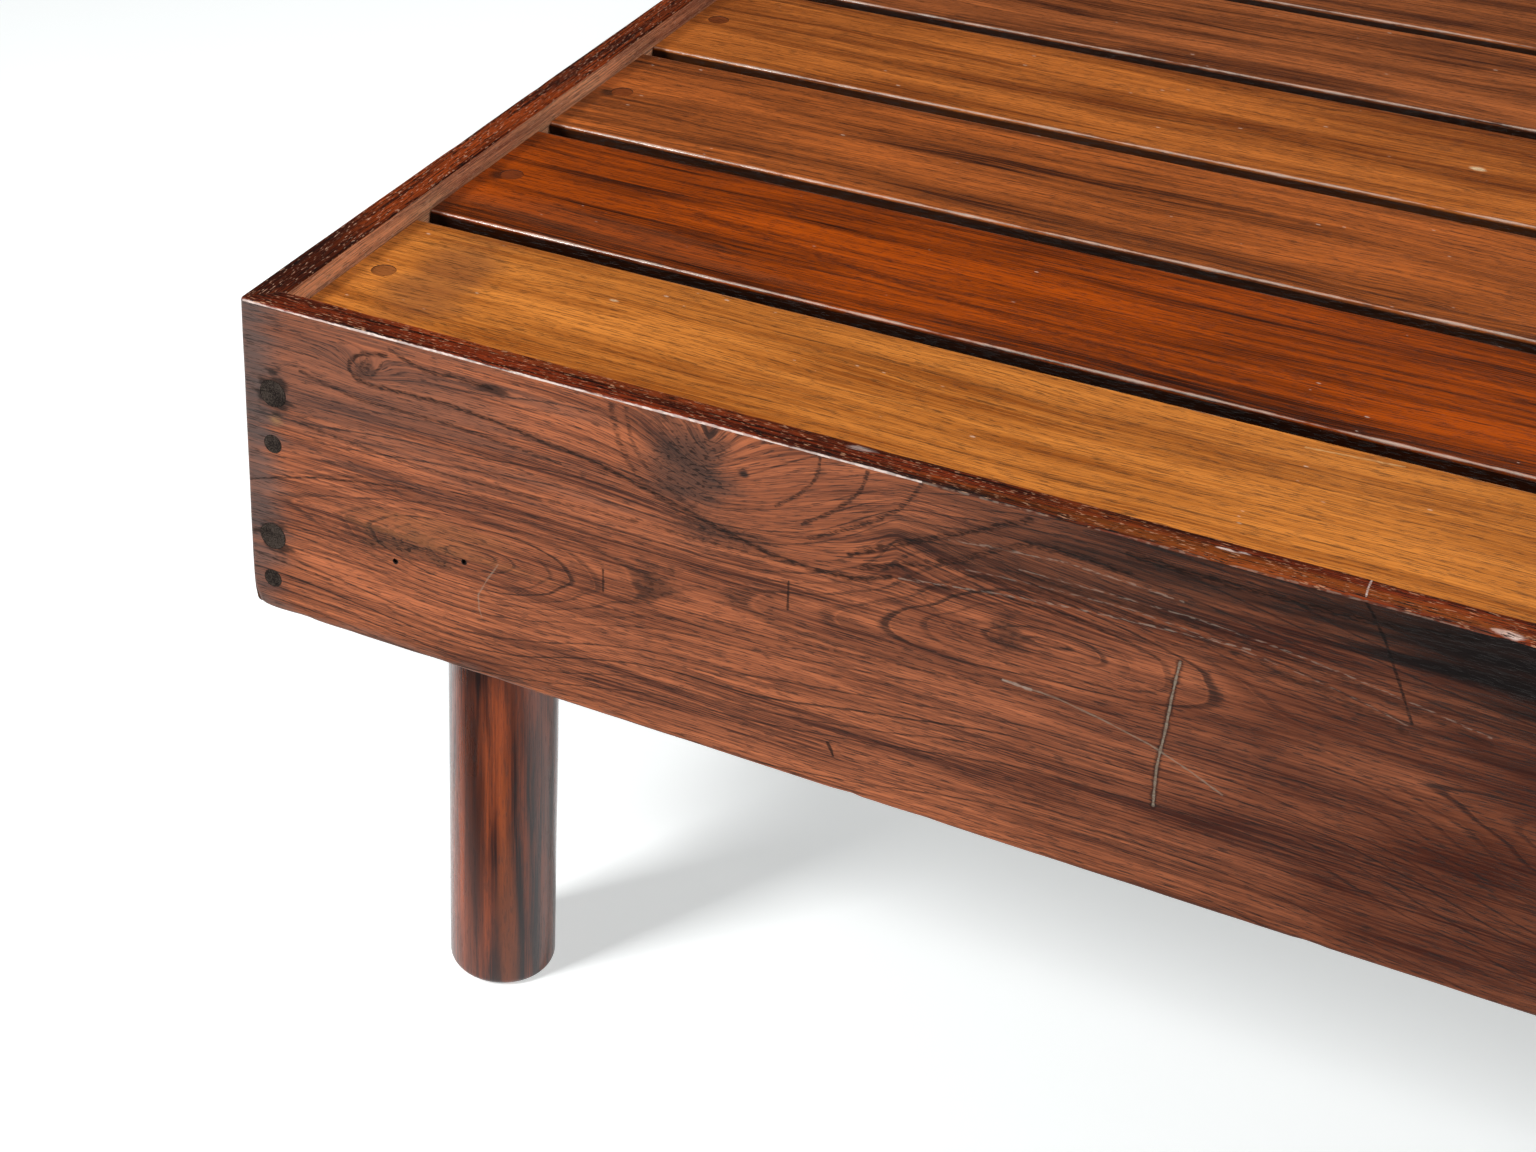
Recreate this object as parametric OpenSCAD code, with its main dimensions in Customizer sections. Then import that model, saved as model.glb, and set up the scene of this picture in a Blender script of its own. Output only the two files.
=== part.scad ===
// Low platform bed frame in dark hardwood. Four rebated rails are mitred into
// a rectangle, cross slats lie in the rebate below the rail tops, and four
// round legs are bolted to blocks in the corners.
// The origin is on the floor under the middle of the frame. X runs across the
// bed, Y runs from the foot to the head and Z is up.

/* [Mattress] */
// Width of the mattress
mattress_w = 900; // [700:10:1600]
// Length of the mattress
mattress_l = 2000; // [1500:10:2200]
// Room left beside the mattress on each side
mattress_room = 4.5; // [2:0.5:15]

/* [Rails] */
// Height of a rail
rail_h = 166; // [150:1:240]
// Thickness of a rail
rail_t = 40; // [38:1:60]
// Thickness of the lip that stands above the slats
lip_t = 15.5; // [12:0.5:18]
// Radius of the worn edges along the top of a rail
top_edge_r = 1.5; // [0.5:0.25:3]
// Radius of the worn edge along the bottom of a rail
bottom_edge_r = 3; // [1:0.5:6]
// Radius of the four upright corners of the frame
corner_r = 2.5; // [1:0.5:5]

/* [Slats] */
// Width of a slat
slat_w = 113; // [60:1:160]
// Thickness of a slat
slat_t = 18; // [16:1:26]
// Least gap between two slats
least_gap = 10; // [6:1:40]
// Gap between the first slat and the lip of the end rail
end_gap = 3.5; // [1:0.5:8]
// Drop from the rail tops to the slat tops
slat_drop = 12; // [6:1:30]
// Clearance between the end of a slat and the lip of the side rail
slat_end_room = 0.8; // [0.3:0.1:3]
// Radius of the long top edges of a slat
slat_edge_r = 2.5; // [1:0.5:5]

/* [Legs] */
// Height of a leg, from the floor to the rails
leg_h = 226; // [100:1:400]
// Diameter of a leg
leg_d = 55; // [40:1:80]
// Distance from the inner face of the end rail to the side of a leg
leg_off_end = 0.5; // [0.5:0.5:30]
// Distance from the inner face of the side rail to the side of a leg
leg_off_side = 33.5; // [30:0.5:80]
// Radius of the edge under a leg
leg_edge_r = 4.5; // [1:0.5:8]

/* [Corner blocks] */
// Height of a corner block
block_h = 80; // [60:1:95]
// Wood of the block past the leg, towards the middle of the side
block_past_end = 4.5; // [2:0.5:20]
// Wood of the block past the leg, towards the middle of the end
block_past_side = 21.5; // [20:0.5:40]

/* [Corner fixings] */
// Diameter of the plugs over the corner screws
corner_plug_d = 14; // [13:0.5:16]
// Length of the plugs over the corner screws
corner_plug_l = 7; // [4:0.5:10]
// Diameter of the corner dowels
dowel_d = 9.5; // [6:0.5:12]
// Length of the corner dowels
dowel_l = 70; // [40:1:100]
// Diameter of the corner screws
corner_screw_d = 6; // [5:0.5:7]
// Length of the corner screws
corner_screw_l = 80; // [50:1:120]
// Distance of the fixings from the corner, at the top of the rail
fix_in_top = 18.5; // [16:0.5:20]
// Distance of the fixings from the corner, at the bottom of the rail
fix_in_bottom = 11.5; // [10:0.5:18]
// Upper corner screw, below the floor of the rebate
upper_screw_below = 16; // [12:1:22]
// Upper corner dowel, below the floor of the rebate
upper_dowel_below = 43; // [35:1:50]
// Lower corner screw, above the bottom of the rail
lower_screw_up = 42; // [36:1:50]
// Lower corner dowel, above the bottom of the rail
lower_dowel_up = 18; // [12:1:22]

/* [Slat fixings] */
// Diameter of the plugs over the slat screws
slat_plug_d = 12; // [10:0.5:14]
// Length of the plugs over the slat screws
slat_plug_l = 5; // [3:0.5:8]
// Diameter of the slat screws
slat_screw_d = 4.5; // [3.5:0.5:5]
// Length of the slat screws
slat_screw_l = 45; // [30:1:60]
// Distance of the slat screws from the outer face of the side rail
slat_screw_in = 31; // [26:0.5:32]

/* [Leg fixings] */
// Diameter of the bolt between a leg and its block
leg_bolt_d = 10; // [8:1:12]
// Length of that bolt inside the leg
leg_bolt_down = 50; // [30:1:80]
// Length of that bolt inside the block
leg_bolt_up = 42; // [34:1:46]
// Outer diameter of the threaded insert in the block
insert_d = 16; // [14:0.5:20]
// Length of the threaded insert
insert_l = 30; // [15:1:34]

/* [Block fixings] */
// Diameter of the screws through a block into its end rail
block_screw_d = 5; // [4:0.5:6]
// Bite of those screws in the rail
block_screw_bite = 25; // [15:1:34]
// Distance of those screws from the ends of the block
block_screw_in = 14; // [10:1:18]
// Height of those screws above the bottom of the block
block_screw_up = 24; // [12:1:36]
// Diameter of the pins driven through the end rail into a block
pin_d = 2.8; // [2:0.2:3.6]
// Length of those pins
pin_l = 60; // [48:1:80]
// Depth of their heads below the face of the rail
pin_set = 2; // [1:0.5:4]
// Distance of the outer pin from the middle of the leg
pin_out = 20; // [14:0.5:24]
// Distance of the inner pin from the middle of the leg
pin_in = 16.5; // [14:0.5:24]
// Depth of the outer pin below the top of the block
pin_out_down = 31; // [24:1:36]
// Depth of the inner pin below the top of the block
pin_in_down = 20; // [10:1:30]

/* [Hidden] */
$fn = 64;
// Clearance round a screw, bolt, pin or plug in its hole
fit = 0.1;
// Overlap of a cutting shape past the face that it opens
past = 1;
// Screw head diameter and height, as shares of the screw diameter
head_share = 1.85;
head_h_share = 0.6;
// Key hole in a screw head, as shares of the screw diameter
key_share = 0.7;
key_h_share = 0.45;
// Length of a screw's point, as a share of its diameter
point_share = 1.2;

// Overall sizes of the frame
frame_w = mattress_w + 2 * (mattress_room + lip_t);
frame_l = mattress_l + 2 * (mattress_room + lip_t);
frame_h = leg_h + rail_h;
rebate_deep = slat_drop + slat_t;
slat_z = frame_h - rebate_deep;
slat_top = frame_h - slat_drop;

// Slats: as many as fit with the least gap, then spread evenly
slat_room_l = frame_l - 2 * (lip_t + end_gap);
slat_count = floor((slat_room_l + least_gap) / (slat_w + least_gap));
slat_gap = (slat_room_l - slat_count * slat_w) / (slat_count - 1);
slat_l = frame_w - 2 * (lip_t + slat_end_room);
slat_screw_x = frame_w / 2 - slat_screw_in;

// Middle of a leg, measured from the middle of the frame
leg_x = frame_w / 2 - rail_t - leg_off_side - leg_d / 2;
leg_y = frame_l / 2 - rail_t - leg_off_end - leg_d / 2;
block_w = leg_off_side + leg_d + block_past_side;
block_l = leg_off_end + leg_d + block_past_end;

// Heights of the corner fixings above the floor
corner_screw_z = [slat_z - upper_screw_below, leg_h + lower_screw_up];
dowel_z = [slat_z - upper_dowel_below, leg_h + lower_dowel_up];

function two_digits(i) = str(i < 10 ? "0" : "", i);
function slat_name(i) = str("slat_", two_digits(i));
function slat_y(i) = -frame_l / 2 + lip_t + end_gap + (i - 1) * (slat_w + slat_gap);

// Distance from the corner of a fixing at height z: the row leans a little
function fix_in(z) = fix_in_bottom + (fix_in_top - fix_in_bottom) * (z - leg_h) / rail_h;

// Places what is drawn for the left foot corner at one corner
module at_corner(right, head) {
    mirror([right ? 1 : 0, 0, 0]) mirror([0, head ? 1 : 0, 0]) children();
}

// Places what is drawn for the left foot corner at all four corners
module at_corners() {
    for (right = [false, true], head = [false, true]) at_corner(right, head) children();
}

// Points a shape that runs along +Z along +Y
module along_y() {
    rotate([-90, 0, 0]) children();
}

// Flat cutter that rounds a corner at the origin, with the wood towards +X +Y
module round_off(r) {
    difference() {
        translate([-past, -past]) square(r + past);
        translate([r, r]) circle(r);
    }
}

// Countersunk screw along +Z with its head at the origin
module screw(d, l) {
    head_d = d * head_share;
    head_h = d * head_h_share;
    point_l = d * point_share;
    difference() {
        union() {
            cylinder(h = head_h, d1 = head_d, d2 = d);
            translate([0, 0, head_h]) cylinder(h = l - head_h - point_l, d = d);
            translate([0, 0, l - point_l]) cylinder(h = point_l, d1 = d, d2 = d / 4);
        }
        translate([0, 0, -past]) cylinder(h = d * key_h_share + past, d = d * key_share, $fn = 6);
    }
}

// Hole for that screw, open above its head for a plug
module screw_hole(d, l, plug_d, plug_l) {
    head_h = d * head_h_share;
    translate([0, 0, -plug_l - past]) cylinder(h = plug_l + past, d = plug_d + 2 * fit);
    translate([0, 0, -fit]) cylinder(h = head_h + fit, d1 = d * head_share + 4 * fit, d2 = d + 2 * fit);
    cylinder(h = l + fit, d = d + 2 * fit);
}

// Cross section of a rail: outer face at X = 0, bottom at Y = 0
module rail_profile() {
    ledge = rail_h - rebate_deep;
    difference() {
        union() {
            square([rail_t, ledge]);
            square([lip_t, rail_h]);
        }
        round_off(bottom_edge_r);
        translate([0, rail_h]) mirror([0, 1]) round_off(top_edge_r);
        translate([lip_t, rail_h]) rotate(180) round_off(top_edge_r);
    }
}

// Outline of the whole frame from above
module frame_outline() {
    difference() {
        square([frame_w, frame_l], center = true);
        at_corners() translate([-frame_w / 2, -frame_l / 2]) round_off(corner_r);
    }
}

// The four mitres, all on the lines at 45 degrees through the frame's corners
module end_rail_outline() {
    x = frame_w / 2;
    y = frame_l / 2;
    intersection() {
        frame_outline();
        polygon([[-x, -y], [x, -y], [x - rail_t, rail_t - y], [rail_t - x, rail_t - y]]);
    }
}
module side_rail_outline() {
    x = frame_w / 2;
    y = frame_l / 2;
    intersection() {
        frame_outline();
        polygon([[-x, -y], [rail_t - x, rail_t - y], [rail_t - x, y - rail_t], [-x, y]]);
    }
}

// Rail across the foot, with no holes
module end_rail_blank() {
    intersection() {
        translate([-frame_w / 2, -frame_l / 2, leg_h])
            rotate([90, 0, 90]) linear_extrude(frame_w) rail_profile();
        linear_extrude(frame_h + past) end_rail_outline();
    }
}

// Rail down the left side, with no holes
module side_rail_blank() {
    intersection() {
        translate([-frame_w / 2, frame_l / 2, leg_h])
            rotate([90, 0, 0]) linear_extrude(frame_l) rail_profile();
        linear_extrude(frame_h + past) side_rail_outline();
    }
}

// Fixings of the left foot corner, each where it sits
module place_corner_screws() {
    for (z = corner_screw_z)
        translate([-frame_w / 2 + fix_in(z), -frame_l / 2 + corner_plug_l, z]) along_y() children();
}
module place_dowels() {
    for (z = dowel_z)
        translate([-frame_w / 2 + fix_in(z), -frame_l / 2, z]) along_y() children();
}
module place_pins() {
    top = leg_h + block_h;
    y = -frame_l / 2 + pin_set;
    translate([-leg_x - pin_out, y, top - pin_out_down]) along_y() children();
    translate([-leg_x + pin_in, y, top - pin_in_down]) along_y() children();
}
module place_block_screws() {
    inner_y = -frame_l / 2 + rail_t + block_l;
    outer_x = -frame_w / 2 + rail_t;
    for (x = [block_screw_in, block_w - block_screw_in])
        translate([outer_x + x, inner_y, leg_h + block_screw_up]) rotate([90, 0, 0]) children();
}

// Holes that run along the bed through the rails and the blocks
module corner_holes() {
    place_corner_screws() screw_hole(corner_screw_d, corner_screw_l, corner_plug_d, corner_plug_l);
    place_dowels() translate([0, 0, -past]) cylinder(h = dowel_l + past + fit, d = dowel_d + 2 * fit);
}
module block_holes() {
    place_pins() translate([0, 0, -pin_set - past])
        cylinder(h = pin_set + past + pin_l + fit, d = pin_d + 2 * fit);
    place_block_screws() screw_hole(block_screw_d, block_l + block_screw_bite, block_screw_d * head_share, 0);
}

// Holes down through the left ends of the slats into the side rail
module slat_holes() {
    for (i = [1:slat_count])
        translate([-slat_screw_x, slat_y(i) + slat_w / 2, slat_top - slat_plug_l]) rotate([180, 0, 0])
            screw_hole(slat_screw_d, slat_screw_l, slat_plug_d, slat_plug_l);
}

module end_rail() {
    color("#7a3d2b") difference() {
        end_rail_blank();
        for (right = [false, true]) at_corner(right, false) {
            corner_holes();
            block_holes();
        }
    }
}

module side_rail() {
    color("#6e3426") difference() {
        side_rail_blank();
        for (head = [false, true]) at_corner(false, head) corner_holes();
        slat_holes();
    }
}

module slat(i) {
    y = slat_y(i);
    color("#a8642f") difference() {
        translate([-slat_l / 2, y, slat_z]) rotate([90, 0, 90]) linear_extrude(slat_l) difference() {
            square([slat_w, slat_t]);
            translate([0, slat_t]) mirror([0, 1]) round_off(slat_edge_r);
            translate([slat_w, slat_t]) rotate(180) round_off(slat_edge_r);
        }
        for (x = [-slat_screw_x, slat_screw_x])
            translate([x, y + slat_w / 2, slat_top - slat_plug_l]) rotate([180, 0, 0])
                screw_hole(slat_screw_d, slat_screw_l, slat_plug_d, slat_plug_l);
    }
}

// Round leg of the left foot corner, bored for its bolt
module leg() {
    r = leg_d / 2;
    color("#5f2d20") translate([-leg_x, -leg_y, 0]) difference() {
        rotate_extrude() difference() {
            square([r, leg_h]);
            translate([r, 0]) mirror([1, 0]) round_off(leg_edge_r);
        }
        translate([0, 0, leg_h - leg_bolt_down - fit])
            cylinder(h = leg_bolt_down + fit + past, d = leg_bolt_d + 2 * fit);
    }
}

// Block in the left foot corner, behind the rails and over the leg
module block() {
    color("#8f5a38") difference() {
        translate([-frame_w / 2 + rail_t, -frame_l / 2 + rail_t, leg_h]) cube([block_w, block_l, block_h]);
        translate([-leg_x, -leg_y, leg_h]) {
            translate([0, 0, -past]) cylinder(h = insert_l + past, d = insert_d + 2 * fit);
            cylinder(h = leg_bolt_up + fit, d = leg_bolt_d + 2 * fit);
        }
        block_holes();
    }
}

module corner_screws() {
    color("silver") at_corners() place_corner_screws() screw(corner_screw_d, corner_screw_l);
}

module corner_plugs() {
    color("#57504c") at_corners() place_corner_screws()
        translate([0, 0, -corner_plug_l]) cylinder(h = corner_plug_l - fit, d = corner_plug_d);
}

module corner_dowels() {
    color("#5d5550") at_corners() place_dowels() cylinder(h = dowel_l, d = dowel_d);
}

module slat_screws() {
    color("silver") for (i = [1:slat_count])
        translate([-slat_screw_x, slat_y(i) + slat_w / 2, slat_top - slat_plug_l]) rotate([180, 0, 0])
            screw(slat_screw_d, slat_screw_l);
}

module slat_plugs() {
    color("#b5763f") for (i = [1:slat_count])
        translate([-slat_screw_x, slat_y(i) + slat_w / 2, slat_top - slat_plug_l + fit])
            cylinder(h = slat_plug_l - fit, d = slat_plug_d);
}

module leg_bolts() {
    color("silver") at_corners() translate([-leg_x, -leg_y, leg_h - leg_bolt_down])
        cylinder(h = leg_bolt_down + leg_bolt_up, d = leg_bolt_d);
}

module leg_inserts() {
    color("#c9b27a") at_corners() translate([-leg_x, -leg_y, leg_h]) difference() {
        cylinder(h = insert_l, d = insert_d);
        translate([0, 0, -past]) cylinder(h = insert_l + 2 * past, d = leg_bolt_d + 2 * fit);
    }
}

module block_screws() {
    color("silver") at_corners() place_block_screws() screw(block_screw_d, block_l + block_screw_bite);
}

module block_pins() {
    color("gray") at_corners() place_pins() cylinder(h = pin_l, d = pin_d);
}

end_rail();  // foot_rail
mirror([0, 1, 0]) end_rail();  // head_rail
side_rail();  // side_rail_left
mirror([1, 0, 0]) side_rail();  // side_rail_right
for (i = [1:slat_count]) slat(i);
leg();  // leg_foot_left
at_corner(true, false) leg();  // leg_foot_right
at_corner(false, true) leg();  // leg_head_left
at_corner(true, true) leg();  // leg_head_right
block();  // block_foot_left
at_corner(true, false) block();  // block_foot_right
at_corner(false, true) block();  // block_head_left
at_corner(true, true) block();  // block_head_right
corner_screws();
corner_plugs();
corner_dowels();
slat_screws();  // slat_screws_left
mirror([1, 0, 0]) slat_screws();  // slat_screws_right
slat_plugs();  // slat_plugs_left
mirror([1, 0, 0]) slat_plugs();  // slat_plugs_right
leg_bolts();
leg_inserts();
block_screws();
block_pins();
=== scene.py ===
"""Low platform bed frame in dark, reddish hardwood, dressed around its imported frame.

Everything is in metres. X runs across the bed, Y from its foot to its head, Z is up, and the
origin is on the floor under the middle of the frame.
"""
import logging
import math
from collections.abc import Sequence
from dataclasses import dataclass, field, replace
from enum import Enum
from functools import cache

import bmesh
import bpy
import numpy as np
from mathutils import Matrix, Vector


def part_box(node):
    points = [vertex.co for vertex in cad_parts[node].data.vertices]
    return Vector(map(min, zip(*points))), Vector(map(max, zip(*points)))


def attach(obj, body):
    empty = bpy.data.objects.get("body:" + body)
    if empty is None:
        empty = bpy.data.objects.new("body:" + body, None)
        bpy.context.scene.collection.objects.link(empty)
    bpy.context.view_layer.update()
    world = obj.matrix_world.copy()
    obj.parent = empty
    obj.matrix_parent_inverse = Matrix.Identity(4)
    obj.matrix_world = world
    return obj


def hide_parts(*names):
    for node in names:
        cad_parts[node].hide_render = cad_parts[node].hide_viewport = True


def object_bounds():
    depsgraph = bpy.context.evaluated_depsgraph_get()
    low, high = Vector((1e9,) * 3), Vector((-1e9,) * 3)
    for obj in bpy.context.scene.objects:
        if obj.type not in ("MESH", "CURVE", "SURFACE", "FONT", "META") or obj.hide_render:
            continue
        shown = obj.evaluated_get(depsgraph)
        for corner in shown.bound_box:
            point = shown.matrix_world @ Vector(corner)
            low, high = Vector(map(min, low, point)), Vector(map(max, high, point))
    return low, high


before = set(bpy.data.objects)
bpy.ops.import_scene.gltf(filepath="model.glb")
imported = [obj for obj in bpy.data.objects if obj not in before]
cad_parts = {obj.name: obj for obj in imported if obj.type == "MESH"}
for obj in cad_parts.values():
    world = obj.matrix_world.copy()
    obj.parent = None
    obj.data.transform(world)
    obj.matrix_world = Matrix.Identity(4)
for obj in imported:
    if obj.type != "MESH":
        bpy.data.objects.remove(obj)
CAD_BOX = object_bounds()

LOG = logging.getLogger("bed_frame")
MM = 0.001
BODY = "root"

Point = tuple[float, float, float]
Spot = tuple[float, float]
Socket = bpy.types.NodeSocket
Value = float | Sequence[float] | Socket
Paint = tuple[float, float, float, float]
Place = tuple[Socket, Socket, Socket]
Box = tuple[Vector, Vector]

NOWHERE = (0.0, 0.0, 0.0)
# Clearance round a plug, pin or screw in its bore
BORE_ROOM = 0.1 * MM
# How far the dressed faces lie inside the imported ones
INSET = 0.12 * MM
SHARP_ANGLE = math.radians(38)


def paint(red: int, green: int, blue: int) -> Paint:
    """Turns a screen colour into the linear colour that the shaders use.

    Args:
        red: Red from 0 to 255.
        green: Green from 0 to 255.
        blue: Blue from 0 to 255.

    Returns:
        Linear red, green, blue and an alpha of 1.
    """
    shares = [channel / 255 for channel in (red, green, blue)]
    linear = [s / 12.92 if s <= 0.04045 else ((s + 0.055) / 1.055) ** 2.4 for s in shares]
    return linear[0], linear[1], linear[2], 1.0


# Node sheets

class Sheet:
    """A node tree, shader or geometry, that is written as formulas."""

    def __init__(self, tree: bpy.types.NodeTree) -> None:
        """Takes the tree that the nodes are added to."""
        self.tree = tree

    def feed(self, socket: Socket, value: Value) -> None:
        """Links a socket to another, or sets its own value.

        Args:
            socket: The input to feed.
            value: An output to link, or a plain value.
        """
        if isinstance(value, bpy.types.NodeSocket):
            self.tree.links.new(value, socket)
        else:
            socket.default_value = value

    def add(self, kind: str, feeds: dict[str | int, Value] | None = None,
            **settings: object) -> bpy.types.Node:
        """Adds a node.

        Args:
            kind: Blender's name of the node type.
            feeds: Values or links by the input's name or number.
            **settings: Properties of the node.

        Returns:
            The new node.
        """
        node = self.tree.nodes.new(kind)
        for name, value in settings.items():
            setattr(node, name, value)
        for key, value in (feeds or {}).items():
            self.feed(node.inputs[key], value)
        return node

    def math(self, operation: str, *values: Value) -> Socket:
        """Adds a Math node and returns its result."""
        return self.add("ShaderNodeMath", dict(enumerate(values)), operation=operation).outputs[0]

    def times(self, first: Value, second: Value) -> Socket:
        """Multiplies two values."""
        return self.math("MULTIPLY", first, second)

    def scaled(self, value: Value, factor: Value, start: Value) -> Socket:
        """Multiplies a value by a factor and adds a start."""
        return self.math("MULTIPLY_ADD", value, factor, start)

    def minus(self, first: Value, second: Value) -> Socket:
        """Takes the second value from the first."""
        return self.math("SUBTRACT", first, second)

    def total(self, values: Sequence[Value]) -> Value:
        """Adds up any number of values.

        Args:
            values: The values, one at least.

        Returns:
            Their sum.
        """
        result = values[0]
        for value in values[1:]:
            result = self.math("ADD", result, value)
        return result

    def vector(self, operation: str, *values: Value) -> Socket:
        """Adds a Vector Math node and returns its vector, or its number where it gives one."""
        node = self.add("ShaderNodeVectorMath", dict(enumerate(values)), operation=operation)
        return node.outputs[1 if operation in ("DOT_PRODUCT", "LENGTH", "DISTANCE") else 0]

    def combine(self, x: Value, y: Value, z: Value) -> Socket:
        """Makes a vector of three numbers."""
        return self.add("ShaderNodeCombineXYZ", {0: x, 1: y, 2: z}).outputs[0]

    def noise(self, vector: Value, scale: float = 1.0, detail: float = 2.0, roughness: float = 0.5) -> Socket:
        """Adds a Noise texture and returns its value, about 0.5 on average."""
        feeds = {"Vector": vector, "Scale": scale, "Detail": detail, "Roughness": roughness}
        return self.add("ShaderNodeTexNoise", feeds).outputs[0]

    def smooth(self, value: Value, low: Value, high: Value) -> Socket:
        """Rises smoothly from 0 at low to 1 at high, or falls where high is the smaller."""
        feeds = {"Value": value, "From Min": low, "From Max": high}
        return self.add("ShaderNodeMapRange", feeds, interpolation_type="SMOOTHSTEP").outputs[0]

    def mix(self, factor: Value, first: Value, second: Value) -> Socket:
        """Mixes two colours."""
        feeds = {0: factor, 6: first, 7: second}
        return self.add("ShaderNodeMix", feeds, data_type="RGBA").outputs[2]

    def group(self, tree: bpy.types.NodeTree, **values: Value) -> bpy.types.Node:
        """Places a shader node group and feeds its inputs, an underscore standing for a space.

        Args:
            tree: The group's tree.
            **values: Values or links by the input's name.

        Returns:
            The group's node.
        """
        node = self.add("ShaderNodeGroup", node_tree=tree)
        for name, value in values.items():
            self.feed(node.inputs[name.replace("_", " ")], value)
        return node


class Kind(Enum):
    """What a socket of a node group carries."""

    NUMBER = "NodeSocketFloat"
    PLACE = "NodeSocketVector"
    SHAPE = "NodeSocketGeometry"
    FINISH = "NodeSocketMaterial"


def new_tree(name: str, kind: str, inputs: dict[str, float | Point | Kind], outputs: dict[str, Kind]
             ) -> tuple[Sheet, dict[str, Socket], bpy.types.Node]:
    """Starts a node group with named inputs and outputs.

    Args:
        name: The group's name.
        kind: "ShaderNodeTree" or "GeometryNodeTree".
        inputs: For each input its default number or place, or what it carries.
        outputs: What each output carries.

    Returns:
        The sheet, the inputs' sockets by name, and the output node.
    """
    tree = bpy.data.node_groups.new(name, kind)
    for label, given_as in inputs.items():
        carried = Kind.PLACE if isinstance(given_as, tuple) else Kind.NUMBER
        if isinstance(given_as, Kind):
            carried = given_as
        socket = tree.interface.new_socket(label, in_out="INPUT", socket_type=carried.value)
        if not isinstance(given_as, Kind):
            socket.default_value = given_as
    for label, carried in outputs.items():
        tree.interface.new_socket(label, in_out="OUTPUT", socket_type=carried.value)
    sheet = Sheet(tree)
    given = sheet.add("NodeGroupInput")
    result = sheet.add("NodeGroupOutput")
    return sheet, {label: given.outputs[label] for label in inputs}, result


# Effects that several finishes share

# Features a metre along and across the grain of each sign of it
DRIFT, TONE, STREAK = (3.0, 34.0), (3.5, 34.0), (8.0, 150.0)
FIBRE, PORE, FLECK = (14.0, 1300.0), (130.0, 1900.0), (240.0, 1300.0)
# How softly a pore's edge fades
PORE_EDGE = 0.07


@cache
def grain_group() -> bpy.types.NodeTree:
    """Grain of a board: broad tones, mottle, fine fibre, growth rings, open pores and pale flecks for painted
    glints.

    Along and Across follow the fibres, Layer counts across the growth layers, and Deep runs into
    the wood, all in metres. Coarse widens the fibre and the pores.

    Returns:
        The node group.
    """
    inputs = {"Along": 0.0, "Across": 0.0, "Layer": 0.0, "Deep": 0.0, "Seed": 0.0, "Ring Gap": 0.003,
              "Coarse": 1.0}
    names = ("Tone", "Streak", "Fibre", "Rings", "Pores", "Flecks")
    sheet, given, result = new_tree("grain", "ShaderNodeTree", inputs, {name: Kind.NUMBER for name in names})
    narrow = sheet.math("DIVIDE", given["Across"], given["Coarse"])

    def lines(across: Socket, scales: Spot, shift: float, detail: float = 2.0) -> Socket:
        """Noise with so many features a metre along and across the grain.

        Args:
            across: Place across the grain.
            scales: Features a metre along and across the grain.
            shift: Where in the noise it starts.
            detail: Detail of the noise.

        Returns:
            The noise, about 0.5 on average.
        """
        offset = sheet.scaled(given["Seed"], 3.7, shift)
        place = sheet.combine(
            sheet.scaled(given["Along"], scales[0], offset),
            sheet.scaled(across, scales[1], offset),
            sheet.times(given["Deep"], scales[1]),
        )
        return sheet.noise(place, detail=detail, roughness=0.6)

    drift = sheet.times(lines(given["Across"], DRIFT, 5.0), 3.0)
    phase = sheet.math("ADD", sheet.math("DIVIDE", given["Layer"], given["Ring Gap"]), drift)
    share = sheet.math("FRACT", phase)
    chance = sheet.add("ShaderNodeTexWhiteNoise", {"W": sheet.math("FLOOR", phase)}, noise_dimensions="1D")
    strength = sheet.scaled(sheet.math("POWER", chance.outputs["Value"], 1.6), 0.85, 0.15)
    row = sheet.times(sheet.smooth(share, 0.0, 0.08), sheet.smooth(share, 0.34, 0.16))
    row = sheet.times(row, strength)
    late = sheet.times(sheet.smooth(share, 0.4, 1.0), sheet.smooth(share, 1.0, 0.97))
    late = sheet.times(late, strength)
    rings = sheet.scaled(late, 0.35, sheet.times(row, 0.75))
    least = sheet.scaled(row, -0.12, 0.575)
    found = {
        "Tone": sheet.smooth(lines(given["Across"], TONE, 1.0, 3.0), 0.3, 0.7),
        "Streak": sheet.smooth(lines(given["Across"], STREAK, 7.0, 4.0), 0.34, 0.66),
        "Fibre": sheet.smooth(lines(narrow, FIBRE, 9.0, 3.0), 0.34, 0.66),
        "Rings": rings,
        "Pores": sheet.smooth(lines(narrow, PORE, 13.0, 1.0), least, sheet.math("ADD", least, PORE_EDGE)),
        "Flecks": sheet.smooth(lines(narrow, FLECK, 21.0, 1.0), 0.62, 0.7),
    }
    for name, value in found.items():
        sheet.feed(result.inputs[name], value)
    return sheet.tree


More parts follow.
